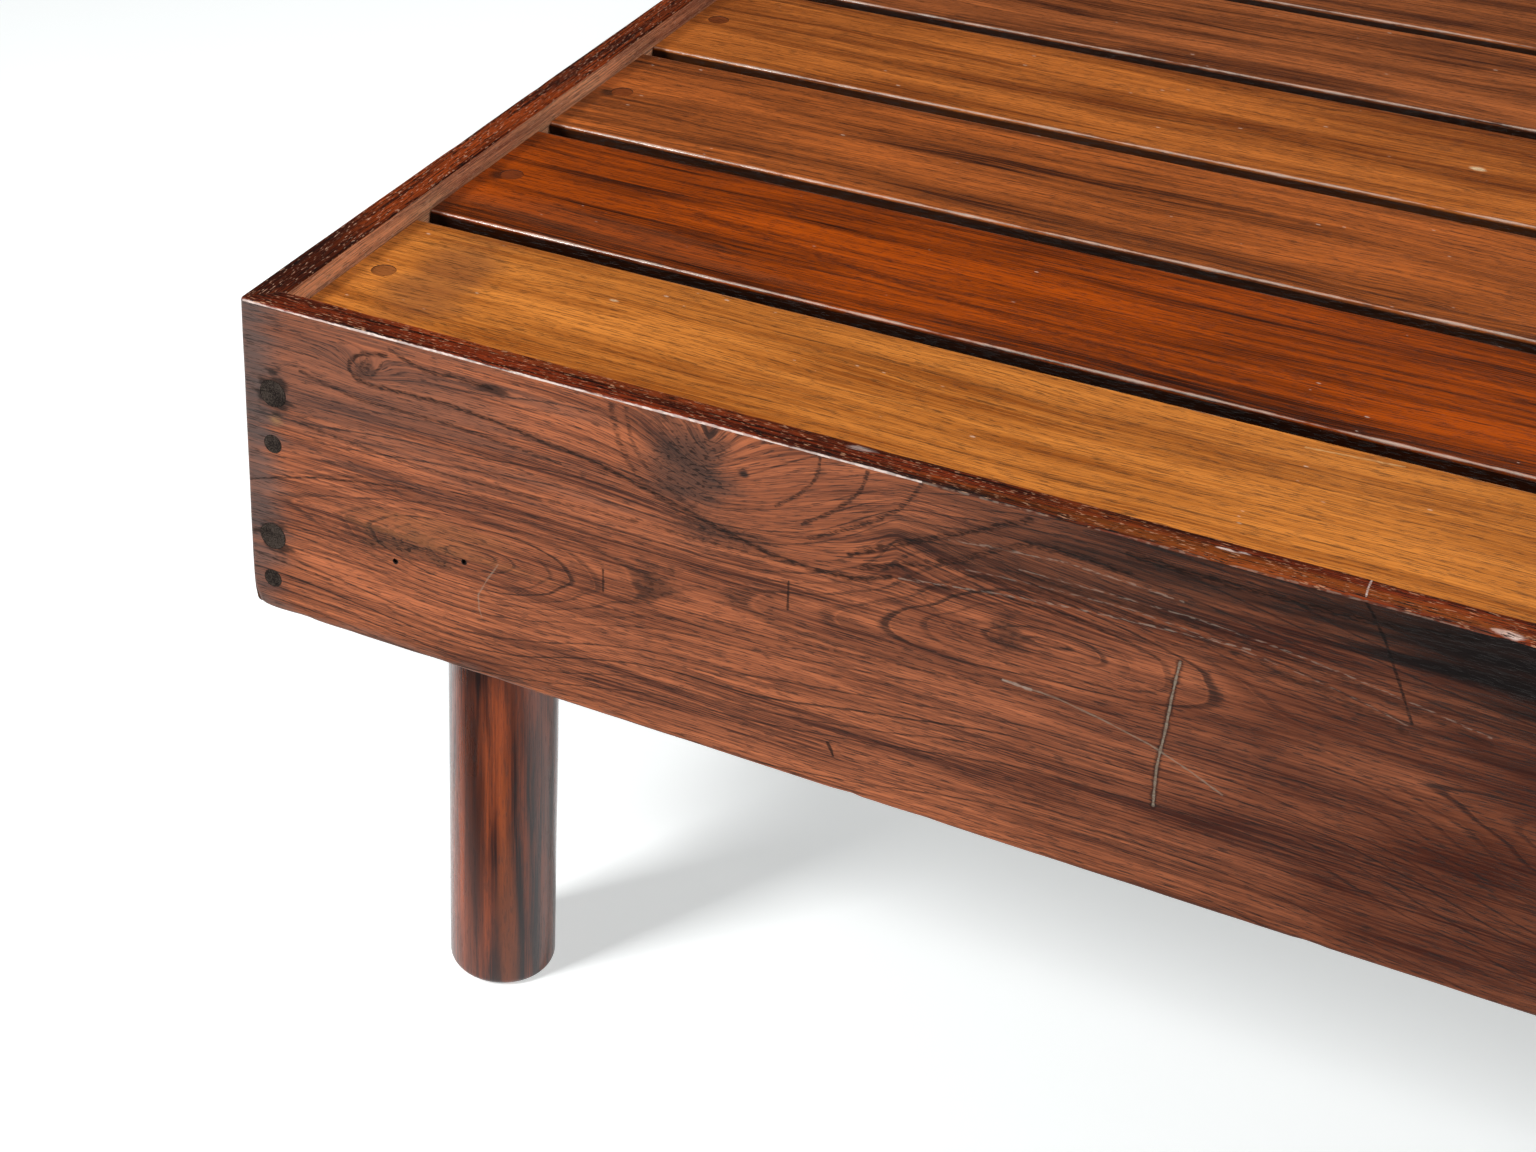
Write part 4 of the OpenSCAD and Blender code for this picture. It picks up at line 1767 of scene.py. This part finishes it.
FOOT_SCRATCHES = (
    LineMark(((442.2, 50.5), (440.9, 68), (440.3, 84.9), (438.9, 103), (439.7, 122)), 2, BLACK, 0.75, 0.3),
    LineMark(((442.2, 50.5), (440.9, 68), (440.3, 84.9), (438.9, 103), (439.7, 122)), 0.72, GREY, 0.9, 0.4),
    LineMark(((372.2, 83.2), (384, 84)), 1, PALE, 0.85, 0.3),
    LineMark(((384, 84), (396.6, 84.6), (435.1, 93.2), (466.1, 106.6)), 0.6, GREY, 0.6, 0.4),
    LineMark(((506.3, 0), (516.3, 15.3), (531.5, 48.5)), 0.9, BLACK, 0.85, 0.4),
    LineMark(((135.2, 101.8), (124.9, 121.3), (126.9, 133.2)), 0.5, GREY, 0.55, 0.5),
    LineMark(((188, 88), (188.4, 99)), 0.8, BLACK, 0.8, 0.2),
    LineMark(((275.6, 66), (275.9, 80)), 0.8, BLACK, 0.8, 0.2),
    LineMark(((0, 96.4), (40, 84), (94.8, 74.3)), 0.9, BLACK, 0.8, 0.5),
    LineMark(((0, 135.6), (44.7, 138.7)), 0.9, BLACK, 0.8, 0.5),
    LineMark(((78, 10), (66, 12), (59, 18), (60, 24), (70, 27), (111, 26), (156, 31),
             (185, 35), (217, 43), (266, 55), (303, 55.5), (320, 49.5)), 1.7, BLACK, 0.85, 0.5),
    LineMark(((76, 14), (70, 23), (64, 20), (68, 14)), 1, BLACK, 0.6, 0.7),
    LineMark(((80, 6), (97, 12), (115, 11), (132, 12)), 1.6, BLACK, 0.8, 0.5),
    LineMark(((32, 30), (64, 36), (111, 36), (166, 40)), 1.4, BLACK, 0.7, 0.6),
    LineMark(((31, 58), (84, 62), (136, 62), (186, 58.5), (234, 58), (303, 56.5)), 1.2, BLACK, 0.65,
            0.65),
    LineMark(((190, 4), (194, 20), (206, 38), (235, 52)), 2.2, BLACK, 0.6, 0.85),
    LineMark(((197, 2), (200, 18), (210, 32), (232, 44)), 1.6, BLACK, 0.5, 0.85),
    LineMark(((286, 2), (285, 12), (278, 22), (268, 31)), 1.3, BLACK, 0.75, 0.6),
    LineMark(((307, 3), (304, 14), (292, 27), (280, 36)), 1.3, BLACK, 0.75, 0.6),
    LineMark(((330, 2), (322, 16), (304, 30), (284, 42)), 1.6, BLACK, 0.75, 0.7),
    LineMark(((302, 44), (324, 32), (344, 22), (376, 5)), 2.2, BLACK, 0.8, 0.75),
    LineMark(((308, 49), (350, 32), (377, 16), (418, 17)), 2.2, BLACK, 0.75, 0.8),
    LineMark(((417, 8.5), (506, 9.6), (549, 4.3)), 2.4, BLACK, 0.8, 0.6),
    LineMark(((333, 52), (352, 45), (398, 44), (434, 52)), 1.2, BLACK, 0.6, 0.85),
    LineMark(((333, 52), (350, 68), (389, 76), (434, 66)), 1, BLACK, 0.4, 0.9),
    LineMark(((298, 141.5), (301, 147.5)), 1, BLACK, 0.85, 0.1),
    LineMark(((273, 96), (328, 91), (393, 86)), 0.9, BLACK, 0.6, 0.8),
    LineMark(((324, 49), (367, 43), (408, 39), (468, 36)), 0.6, PALE, 0.5, 1),
    LineMark(((374, 29), (447, 29), (503, 35), (560, 45)), 0.55, PALE, 0.38, 1),
    LineMark(((352, 36), (420, 33), (492, 41), (530, 50)), 0.5, PALE, 0.32, 1),
    LineMark(((344, 24), (392, 20), (440, 23)), 0.7, PALE, 0.4, 1),
    LineMark(((374, 31), (447, 31.5), (503, 37.5), (560, 48)), 2.2, BLACK, 0.5, 0.6),
    LineMark(((352, 38), (420, 35.5), (492, 44), (530, 53)), 2.2, BLACK, 0.5, 0.6),
)
LIP_SCRATCHES_AND_HIGHLIGHT = (
    # The first two lines paint the highlight along the lip's outer arris, over a worn arris; the third is a
    # scratch
    LineMark(((2, 0.3), (330, 0.3)), 0.34, WHITE, 0.85, 0.35),
    LineMark(((330, 0.3), (560, 0.3)), 0.24, PALE, 0.4, 0.8),
    LineMark(((506.6, 2), (506, 8), (506, 15)), 0.5, WHITE, 0.65, 0.6),
)
LIP_PATCHES = (
    Patch(450, 8.6, 9, 1.6, BLACK, 0.8, 1),
    Patch(451, 8.9, 8, 0.9, WHITE, 0.8, 1.2),
    Patch(458, 9.6, 3, 0.8, WHITE, 0.7, 1.2),
    Patch(560.5, 2.8, 5, 2.2, WHITE, 0.9, 1.2),
    Patch(300, 11, 8, 2, WHITE, 0.3, 1.4),
    Patch(480, 5, 130, 6, paint(196, 104, 40), 0.32, 1.1, Rag.STREAKY),
    Patch(200, 13, 160, 4, paint(150, 66, 28), 0.5, 1.2, Rag.STREAKY),
    Patch(330, 1, 40, 2, paint(30, 16, 12), 0.7, 0.9, Rag.STREAKY),
)
SIDE_LIP_PATCHES = (Patch(1995, 8, 75, 20, paint(32, 10, 7), 0.85, 0.5, Rag.STREAKY),)
FOOT_DENTS = (
    Dent(299.5, 144, 2.5, 3.5, 0.5),
    Dent(0, 166, 7, 7, 1.2),
    Dent(440.5, 86, 1.2, 34, 0.15),
    Dent(448, 132, 3, 1.5, 0.2),
    Dent(309.2, 166, 4, 3, 0.6),
    Dent(451, 0, 4, 2.5, 0.8),
    Dent(560.5, 0, 5, 3, 1),
    Dent(1, 137, 3, 4, 0.5),
)
# Each zone's finish holds only its own scratches, because one material can't hold them all
FOOT_FIGURE = Figure(FOOT_KNOTS, FOOT_HEART, FOOT_PATCHES, FOOT_SCRATCHES, FOOT_DENTS,
                     zones=tuple(range(60, 541, 60)))


def other_figure(seed: int, length: float, count: int) -> Figure:
    """Draws the figure of a rail that the photograph doesn't show.

    Args:
        seed: Seed of the draw.
        length: Length of the rail in millimetres.
        count: How many knots it has, and how many eyes.

    Returns:
        Knots spread along the rail, and a heart line that rises and falls from eye to eye.
    """
    draw = np.random.RandomState(seed)
    knots = []
    for i in range(count):
        along = length * (i + draw.uniform(0.25, 0.75)) / count
        back, ahead = draw.uniform(14, 40, 2)
        reach = draw.uniform(8, 16)
        knots.append(Knot(along, draw.uniform(15, 150), back, ahead, reach, reach * draw.uniform(0.8, 1.5)))
    draw = np.random.RandomState(seed + 100)
    places = [length * (i + draw.uniform(0.2, 0.8)) / count for i in range(count)]
    bends = tuple((first, last, 30 * (-1) ** i * draw.uniform(0.3, 1.0))
                  for i, (first, last) in enumerate(zip(places, places[1:])))
    start = draw.uniform(60, 110)
    return Figure(tuple(knots), Heart(start, bends, tuple((place, draw.uniform(45, 90)) for place in places)))


# Half size of the stain round a plug, as a share of the plug's
STAIN_REACH = 1.5


def plug_stains(bed: BedFrame, side: RailSide) -> tuple[Patch, ...]:
    """Darkens the face round the plugs and dowels of one rail.

    Args:
        bed: The bed frame.
        side: The rail.

    Returns:
        The stains.
    """
    stains: list[Patch] = []
    start = Vector(bed.rail_board(side, RailPart.FACE).start)
    for node in ("corner_plugs", "corner_dowels"):
        for low, high in solids(node):
            offset = (low + high) / 2 - start
            if abs(offset.dot(side.inward)) < Rail.thick / 2:
                along, down = offset.dot(side.along) / MM, -offset.z / MM
                size = (high.x - low.x) / 2 / MM * STAIN_REACH
                stains.append(Patch(along, down, size, size, paint(36, 28, 24), 0.85, 1.4))
    return tuple(stains)


def rail_finishes(bed: BedFrame, side: RailSide, seed: float, figure: Figure) -> dict[RailPart, Wood]:
    """Makes the four finishes of one rail.

    Args:
        bed: The bed frame.
        side: The rail.
        seed: Seed of its grain.
        figure: Its figure.

    Returns:
        The finish of each part.
    """
    label = side.name.lower()
    face = bed.rail_board(side, RailPart.FACE)
    lip = bed.rail_board(side, RailPart.LIP)
    ends = side in (RailSide.FOOT, RailSide.HEAD)
    lip_patches = {RailSide.FOOT: LIP_PATCHES, RailSide.LEFT: SIDE_LIP_PATCHES}.get(side, ())
    return {
        RailPart.FACE: Wood(
            f"{label}_rail_face", face, RAIL_TONES, seed, ring_gap=3.6 * MM, ring_amount=0.95,
            pore_amount=0.62, tone_share=0.4, streak_share=0.4, fibre_share=0.6, wobble=3 * MM,
            edge_reach=1.2 * MM, edge_amount=0.4, roughness=0.38, coat=0.05, coat_roughness=0.3,
            specular=0.22, bump=0.5, knots=figure.knots, heart=figure.heart,
            patches=(*figure.patches, *plug_stains(bed, side)), line_marks=figure.line_marks),
        # The lip's arris colour is wear and a painted highlight, and its pale flecks are painted glints
        RailPart.LIP: Wood(
            f"{label}_rail_lip", lip, LIP_TONES if ends else SIDE_LIP_TONES, seed + 3, ring_gap=2.6 * MM,
            tone_share=0.5, streak_share=0.7, fibre_share=0.9, ring_amount=0.6, pore_amount=0.9,
            glint_fleck_amount=0.5, wobble=1 * MM, edge_reach=0.5 * MM, edge_amount=0.35, edge_gloss=0.2,
            speck_amount=0.4, roughness=0.34, coat=0.04, coat_roughness=0.15, specular=0.12, bump=0.5,
            patches=lip_patches, line_marks=LIP_SCRATCHES_AND_HIGHLIGHT if side is RailSide.FOOT else ()),
        # The inner face's lighter tones are painted light, and its pale flecks painted glints
        RailPart.INNER: Wood(
            f"{label}_rail_inner", face, INNER_TONES_WITH_PAINTED_LIGHT, seed + 5, ring_gap=2.8 * MM, ring_amount=0.5,
            pore_amount=0.5, glint_fleck_amount=0.4, wobble=2 * MM, edge_reach=2.2 * MM, edge_amount=0.7,
            speck_amount=0.4, roughness=0.5, coat=0.1, coat_roughness=0.3, bump=0.6),
        RailPart.HIDDEN: Wood(
            f"{label}_rail_hidden", face, HIDDEN_TONES, seed + 7, ring_gap=3.2 * MM, roughness=0.6, coat=0.0),
    }


def slat_tones(dark: Sequence[int], light: Sequence[int]) -> Tones:
    """Makes the colours of a slat from its dark and light tone on the screen.

    Args:
        dark: The dark tone.
        light: The light tone.

    Returns:
        The colours.
    """
    line = [round(channel * 0.62) for channel in dark]
    pore = [round(channel * 0.36) for channel in dark]
    # The near-white last colour is the arris wear with its painted highlight, and the specks
    return Tones(paint(*dark), paint(*light), paint(*line), paint(*pore), paint(244, 222, 204))


SLAT_COLOURS = (
    ((142, 74, 22), (224, 138, 58)),
    ((44, 12, 1), (184, 78, 4)),
    ((58, 24, 10), (196, 104, 44)),
    ((108, 48, 12), (210, 120, 50)),
    ((66, 28, 12), (190, 106, 54)),
    ((76, 36, 18), (192, 108, 56)),
)
SLAT_PATCHES = {
    1: (Patch(44, 60, 26, 60, paint(118, 70, 44), 0.5, 0.6, Rag.COARSE),
        Patch(124, 82, 3, 1.5, paint(226, 190, 150), 0.8)),
    2: (Patch(9, 53, 6, 7, paint(50, 20, 8), 0.85),
        Patch(80, 20, 130, 18, paint(170, 104, 70), 0.12, 0.8, Rag.STREAKY)),
    3: (Patch(8, 52, 6, 6, paint(44, 24, 14), 0.8),),
    4: (Patch(449, 58, 5, 3, paint(238, 204, 160), 0.95),),
}
SLAT_MARKS = {
    1: (LineMark(((440.0, 104.0), (480.0, 108.0)), 0.9, paint(230, 180, 120), 0.6, 0.5),),
    2: (LineMark(((119.0, 60.0), (250.0, 36.0), (384.0, 15.0)), 4.0, paint(58, 20, 5), 0.55, 0.6),),
}
SLAT_PLUG_PATCHES = (
    Patch(31, 76, 16, 16, paint(150, 88, 42), 0.8, 0.1),
    Patch(31, 202, 16, 16, paint(116, 52, 22), 0.8, 0.1),
)


def slat_finish(number: int, node: str) -> Wood:
    """Makes the finish of one slat: the first ones as in the photograph, the others mixed like them.

    Args:
        number: Number of the slat, from the foot.
        node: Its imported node.

    Returns:
        The finish.
    """
    low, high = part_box(node)
    draw = np.random.RandomState(number)
    dark, light = SLAT_COLOURS[(number - 1) % len(SLAT_COLOURS)]
    if number > len(SLAT_COLOURS):
        change = draw.uniform(0.88, 1.12)
        dark, light = ([min(255, round(channel * change)) for channel in tone] for tone in (dark, light))
    board = Board((low.x, low.y, high.z), (1, 0, 0), (0, 1, 0), high.y - low.y)
    return Wood(
        f"slat_{number:02d}_oiled", board, slat_tones(dark, light), 11.0 * number,
        ring_gap=draw.uniform(5, 9) * MM, ring_amount=0.25, coarse=0.95, tone_share=0.7,
        streak_share=0.26, fibre_share=0.5, pore_amount=0.6, speck_amount=0.4,
        # The arris colour paints the near arris's highlight as well as its wear; the darker sides are painted
        # shade in the gaps, over darker unfinished wood
        wobble=draw.uniform(3, 7) * MM, edge_reach=1.0 * MM, edge_amount=0.6, edge_gloss=0.9,
        side_dark_and_shade=0.95, roughness=0.36, coat=0.05, coat_roughness=0.2, specular=0.18, bump=0.5,
        patches=SLAT_PATCHES.get(number, ()), line_marks=SLAT_MARKS.get(number, ()))


def build_rails(bed: BedFrame, bores: Sequence[Bore]) -> None:
    """Builds the four rails.

    Args:
        bed: The bed frame.
        bores: All bores that may reach a rail.
    """
    width, length = bed.high.x - bed.low.x, bed.high.y - bed.low.y
    plans = [
        ("foot_rail", RailSide.FOOT, "end_rail_wood", width, 4.0, FOOT_FIGURE),
        ("head_rail", RailSide.HEAD, "end_rail_wood", width, 23.0, other_figure(2, width / MM, 3)),
        ("side_rail_left", RailSide.LEFT, "side_rail_wood", length, 41.0, other_figure(3, length / MM, 6)),
        ("side_rail_right", RailSide.RIGHT, "side_rail_wood", length, 57.0, other_figure(4, length / MM, 6)),
    ]
    for number, (node, side, slot, size, seed, figure) in enumerate(plans, 1):
        finishes = rail_finishes(bed, side, seed, figure)
        Rail(node, side, slot, finishes, figure, number, size, bores=near(bores, node)).build()


def build_slats(bores: Sequence[Bore]) -> None:
    """Builds the slats.

    Args:
        bores: All bores that may reach a slat.
    """
    names = sorted(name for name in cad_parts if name.startswith("slat_") and name[5:].isdigit())
    for number, node in enumerate(names, 1):
        Slat(number, slat_finish(number, node), near(bores, node)).build()


LEG_PATCHES = (
    Patch(110, 25, 160, 8, paint(44, 18, 13), 0.85, 0.4, Rag.STREAKY),
    Patch(40, 42, 110, 5, paint(178, 88, 36), 0.5, 0.8, Rag.STREAKY),
    # Dark top of the leg under the rail: painted shade
    Patch(226, 35, 30, 30, paint(34, 14, 12), 0.7, 0.3, Rag.COARSE),
)


def build_legs_and_blocks() -> None:
    """Builds the legs and the corner blocks."""
    for number, corner in enumerate(("foot_left", "foot_right", "head_left", "head_right")):
        low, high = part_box(f"leg_{corner}")
        board = Board((low.x, low.y, low.z), (0, 0, 1), (1, 0, 0), high.x - low.x)
        finish = Wood(
            f"leg_{corner}_oiled", board, LEG_TONES, 17.0 + 5 * number, ring_gap=6.0 * MM, tone_share=0.9,
            streak_share=0.6, fibre_share=0.3, ring_amount=0.5, pore_amount=0.3, wobble=3 * MM, roughness=0.3,
            coat=0.9, coat_roughness=0.14, bump=0.25, patches=LEG_PATCHES)
        Leg(f"leg_{corner}", finish, 40 + number).build()
        low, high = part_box(f"block_{corner}")
        board = Board((low.x, low.y, high.z), (1, 0, 0), (0, 0, -1), high.z - low.z)
        finish = Wood(f"block_{corner}_raw", board, HIDDEN_TONES, 71.0 + 3 * number, roughness=0.6, coat=0.0)
        Block(f"block_{corner}", finish).build()


def build_pegs() -> None:
    """Builds the plugs and dowels."""
    low, high = CAD_BOX
    end_grain = Board((low.x, low.y, high.z), (0, 1, 0), (0, 0, -1), high.z - low.z)
    dark = Wood("dark_end_grain", end_grain, PLUG_TONES, 3.0, ring_gap=2.0 * MM, fibre_share=0.9,
                roughness=0.8, coat=0.0, specular=0.05, bump=0.5)
    for node in ("corner_plugs", "corner_dowels"):
        Pegs(node, "dark_plug", dark, False).build()
    flat = Board((low.x, low.y, high.z), (1, 0, 0), (0, 1, 0), high.y - low.y)
    light = Wood("oiled_end_grain", flat, slat_tones((92, 42, 18), (132, 66, 30)), 6.0, roughness=0.4,
                 coat=0.05, specular=0.08, patches=SLAT_PLUG_PATCHES)
    for side in ("left", "right"):
        Pegs(f"slat_plugs_{side}", "slat_plug", light, True, 0.15 * MM).build()


def dress_metal() -> None:
    """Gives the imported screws, bolts, pins and inserts their finish."""
    steel = ("corner_screws", "slat_screws_left", "slat_screws_right", "leg_bolts", "block_screws",
             "block_pins")
    for node, finish in [*((node, STEEL) for node in steel), ("leg_inserts", BRASS)]:
        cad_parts[node].material_slots[0].material = finish.material()
        LOG.info("%s: packed shape kept, %s finish", node, finish.name)


# Studio

@dataclass(frozen=True)
class PhotoCamera:
    """The camera that took the photograph, fitted to the frame's straight edges."""

    place: Point = (0.14936, -1.89141, 0.93681)
    yaw: float = -0.48224
    pitch: float = 0.47103
    roll: float = 0.01333
    focal: float = 2621.57
    middle: Spot = (556.636, 290.646)
    image: tuple[int, int] = (1536, 1152)
    sensor: float = 36.0

    def build(self) -> None:
        """Makes the camera and makes it the scene's own."""
        level_share = math.cos(self.pitch)
        forward = Vector((math.sin(self.yaw) * level_share, math.cos(self.yaw) * level_share,
                          -math.sin(self.pitch)))
        level = Vector((math.cos(self.yaw), -math.sin(self.yaw), 0))
        up = level.cross(forward)
        right = math.cos(self.roll) * level + math.sin(self.roll) * up
        top = -math.sin(self.roll) * level + math.cos(self.roll) * up
        data = bpy.data.cameras.new("photo_camera")
        data.sensor_width = self.sensor
        data.lens = self.focal / self.image[0] * self.sensor
        data.shift_x = (self.image[0] / 2 - self.middle[0]) / self.image[0]
        data.shift_y = (self.middle[1] - self.image[1] / 2) / self.image[0]
        data.clip_start, data.clip_end = 0.05, 100
        camera = new_piece("photo_camera", data)
        turn = Matrix((right, top, -forward)).transposed()
        camera.matrix_world = Matrix.Translation(self.place) @ turn.to_4x4()
        bpy.context.scene.camera = camera


@dataclass(frozen=True)
class SoftLight:
    """A soft box: where it hangs, what it points at, its size and its power."""

    name: str
    place: Point
    target: Point
    size: Spot
    power: float
    mirrored_only: bool = False

    def build(self) -> None:
        """Hangs the light."""
        data = bpy.data.lights.new(self.name, "AREA")
        data.shape = "RECTANGLE"
        data.size, data.size_y = self.size
        data.energy = self.power
        light = new_piece(self.name, data)
        light.visible_diffuse = not self.mirrored_only
        aim = Vector(self.target) - Vector(self.place)
        turn = aim.to_track_quat("-Z", "Y").to_matrix()
        light.matrix_world = Matrix.Translation(self.place) @ turn.to_4x4()


@dataclass(frozen=True)
class Studio:
    """Pale floor, soft boxes and a dim surround."""

    floor_radius: float = 30.0
    pale: Point = (0.84, 0.86, 0.86)
    seen_glow: float = 0.56
    given_glow: float = 0.3
    mirrored_near: float = 0.06
    mirrored_far: float = 1.0
    mirror_edges: Spot = (-1.12, -0.92)
    surround: float = 0.04

    def build(self) -> None:
        """Builds the floor, the lights and the surround."""
        mesh = bmesh.new()
        bmesh.ops.create_circle(mesh, cap_ends=True, segments=96, radius=self.floor_radius)
        floor = new_piece("studio_floor", finished("studio_floor", mesh, self._floor_material()))
        SoftLight("key", (-1.1, -2.02, 1.243), (-0.3, -1.0, 0.25), (0.35, 0.35), 27).build()
        SoftLight("overhead", (0.9, -0.2, 2.5), (0.0, -0.3, 0.3), (2.0, 2.0), 48).build()
        SoftLight("strip left", (-1.85, -1.05, 0.52), (-0.37, -0.95, 0.4), (1.2, 0.9), 26, True).build()
        SoftLight("strip right", (0.6, -1.25, 0.46), (-0.37, -0.95, 0.3), (0.24, 0.8), 16, True).build()
        self._surround()
        bpy.context.scene.view_settings.view_transform = "Standard"

    def _floor_material(self) -> bpy.types.Material:
        """Pale floor that glows a little, as a lit sweep does, and is dim in front for what mirrors it.

        Returns:
            The material.
        """
        made, sheet, shader = new_material("studio_floor")
        shader.inputs["Roughness"].default_value = 0.9
        shader.inputs["Specular IOR Level"].default_value = 0.1
        shader.inputs["Emission Color"].default_value = (0.965, 1.0, 1.0, 1)
        path = sheet.add("ShaderNodeLightPath").outputs
        here = sheet.add("ShaderNodeTexCoord").outputs["Object"]
        back = sheet.smooth(sheet.add("ShaderNodeSeparateXYZ", {0: here}).outputs[1], *self.mirror_edges)
        gain = self.mirrored_far - self.mirrored_near
        mirrored = sheet.scaled(back, gain, self.mirrored_near)
        lost = sheet.times(path["Is Glossy Ray"], sheet.minus(1.0, mirrored))
        shown = sheet.minus(1.0, lost)
        gain = self.seen_glow - self.given_glow
        glow = sheet.scaled(path["Is Camera Ray"], gain, self.given_glow)
        sheet.feed(shader.inputs["Base Color"], sheet.vector("MULTIPLY", self.pale, shown))
        sheet.feed(shader.inputs["Emission Strength"], sheet.times(glow, shown))
        return made

    def _surround(self) -> None:
        """White behind everything for the camera, dim for the light that it gives."""
        world = bpy.data.worlds.new("surround")
        world.use_nodes = True
        bpy.context.scene.world = world
        sheet = Sheet(world.node_tree)
        seen = sheet.add("ShaderNodeLightPath").outputs["Is Camera Ray"]
        strength = sheet.scaled(seen, 1.0 - self.surround, self.surround)
        sheet.feed(world.node_tree.nodes["Background"].inputs["Color"], (1, 1, 1, 1))
        sheet.feed(world.node_tree.nodes["Background"].inputs["Strength"], strength)


def main() -> None:
    """Builds the studio and the bed frame, in order."""
    logging.basicConfig(level=logging.INFO, format="%(relativeCreated)6d ms %(name)s %(message)s")
    PhotoCamera().build()
    Studio().build()
    bed = BedFrame(*CAD_BOX)
    slat_fixings = bed.slat_bores()
    build_rails(bed, [*bed.end_rail_bores(), *bed.block_bores(), *slat_fixings])
    build_slats(slat_fixings)
    build_legs_and_blocks()
    build_pegs()
    dress_metal()


if __name__ == "__main__":
    main()
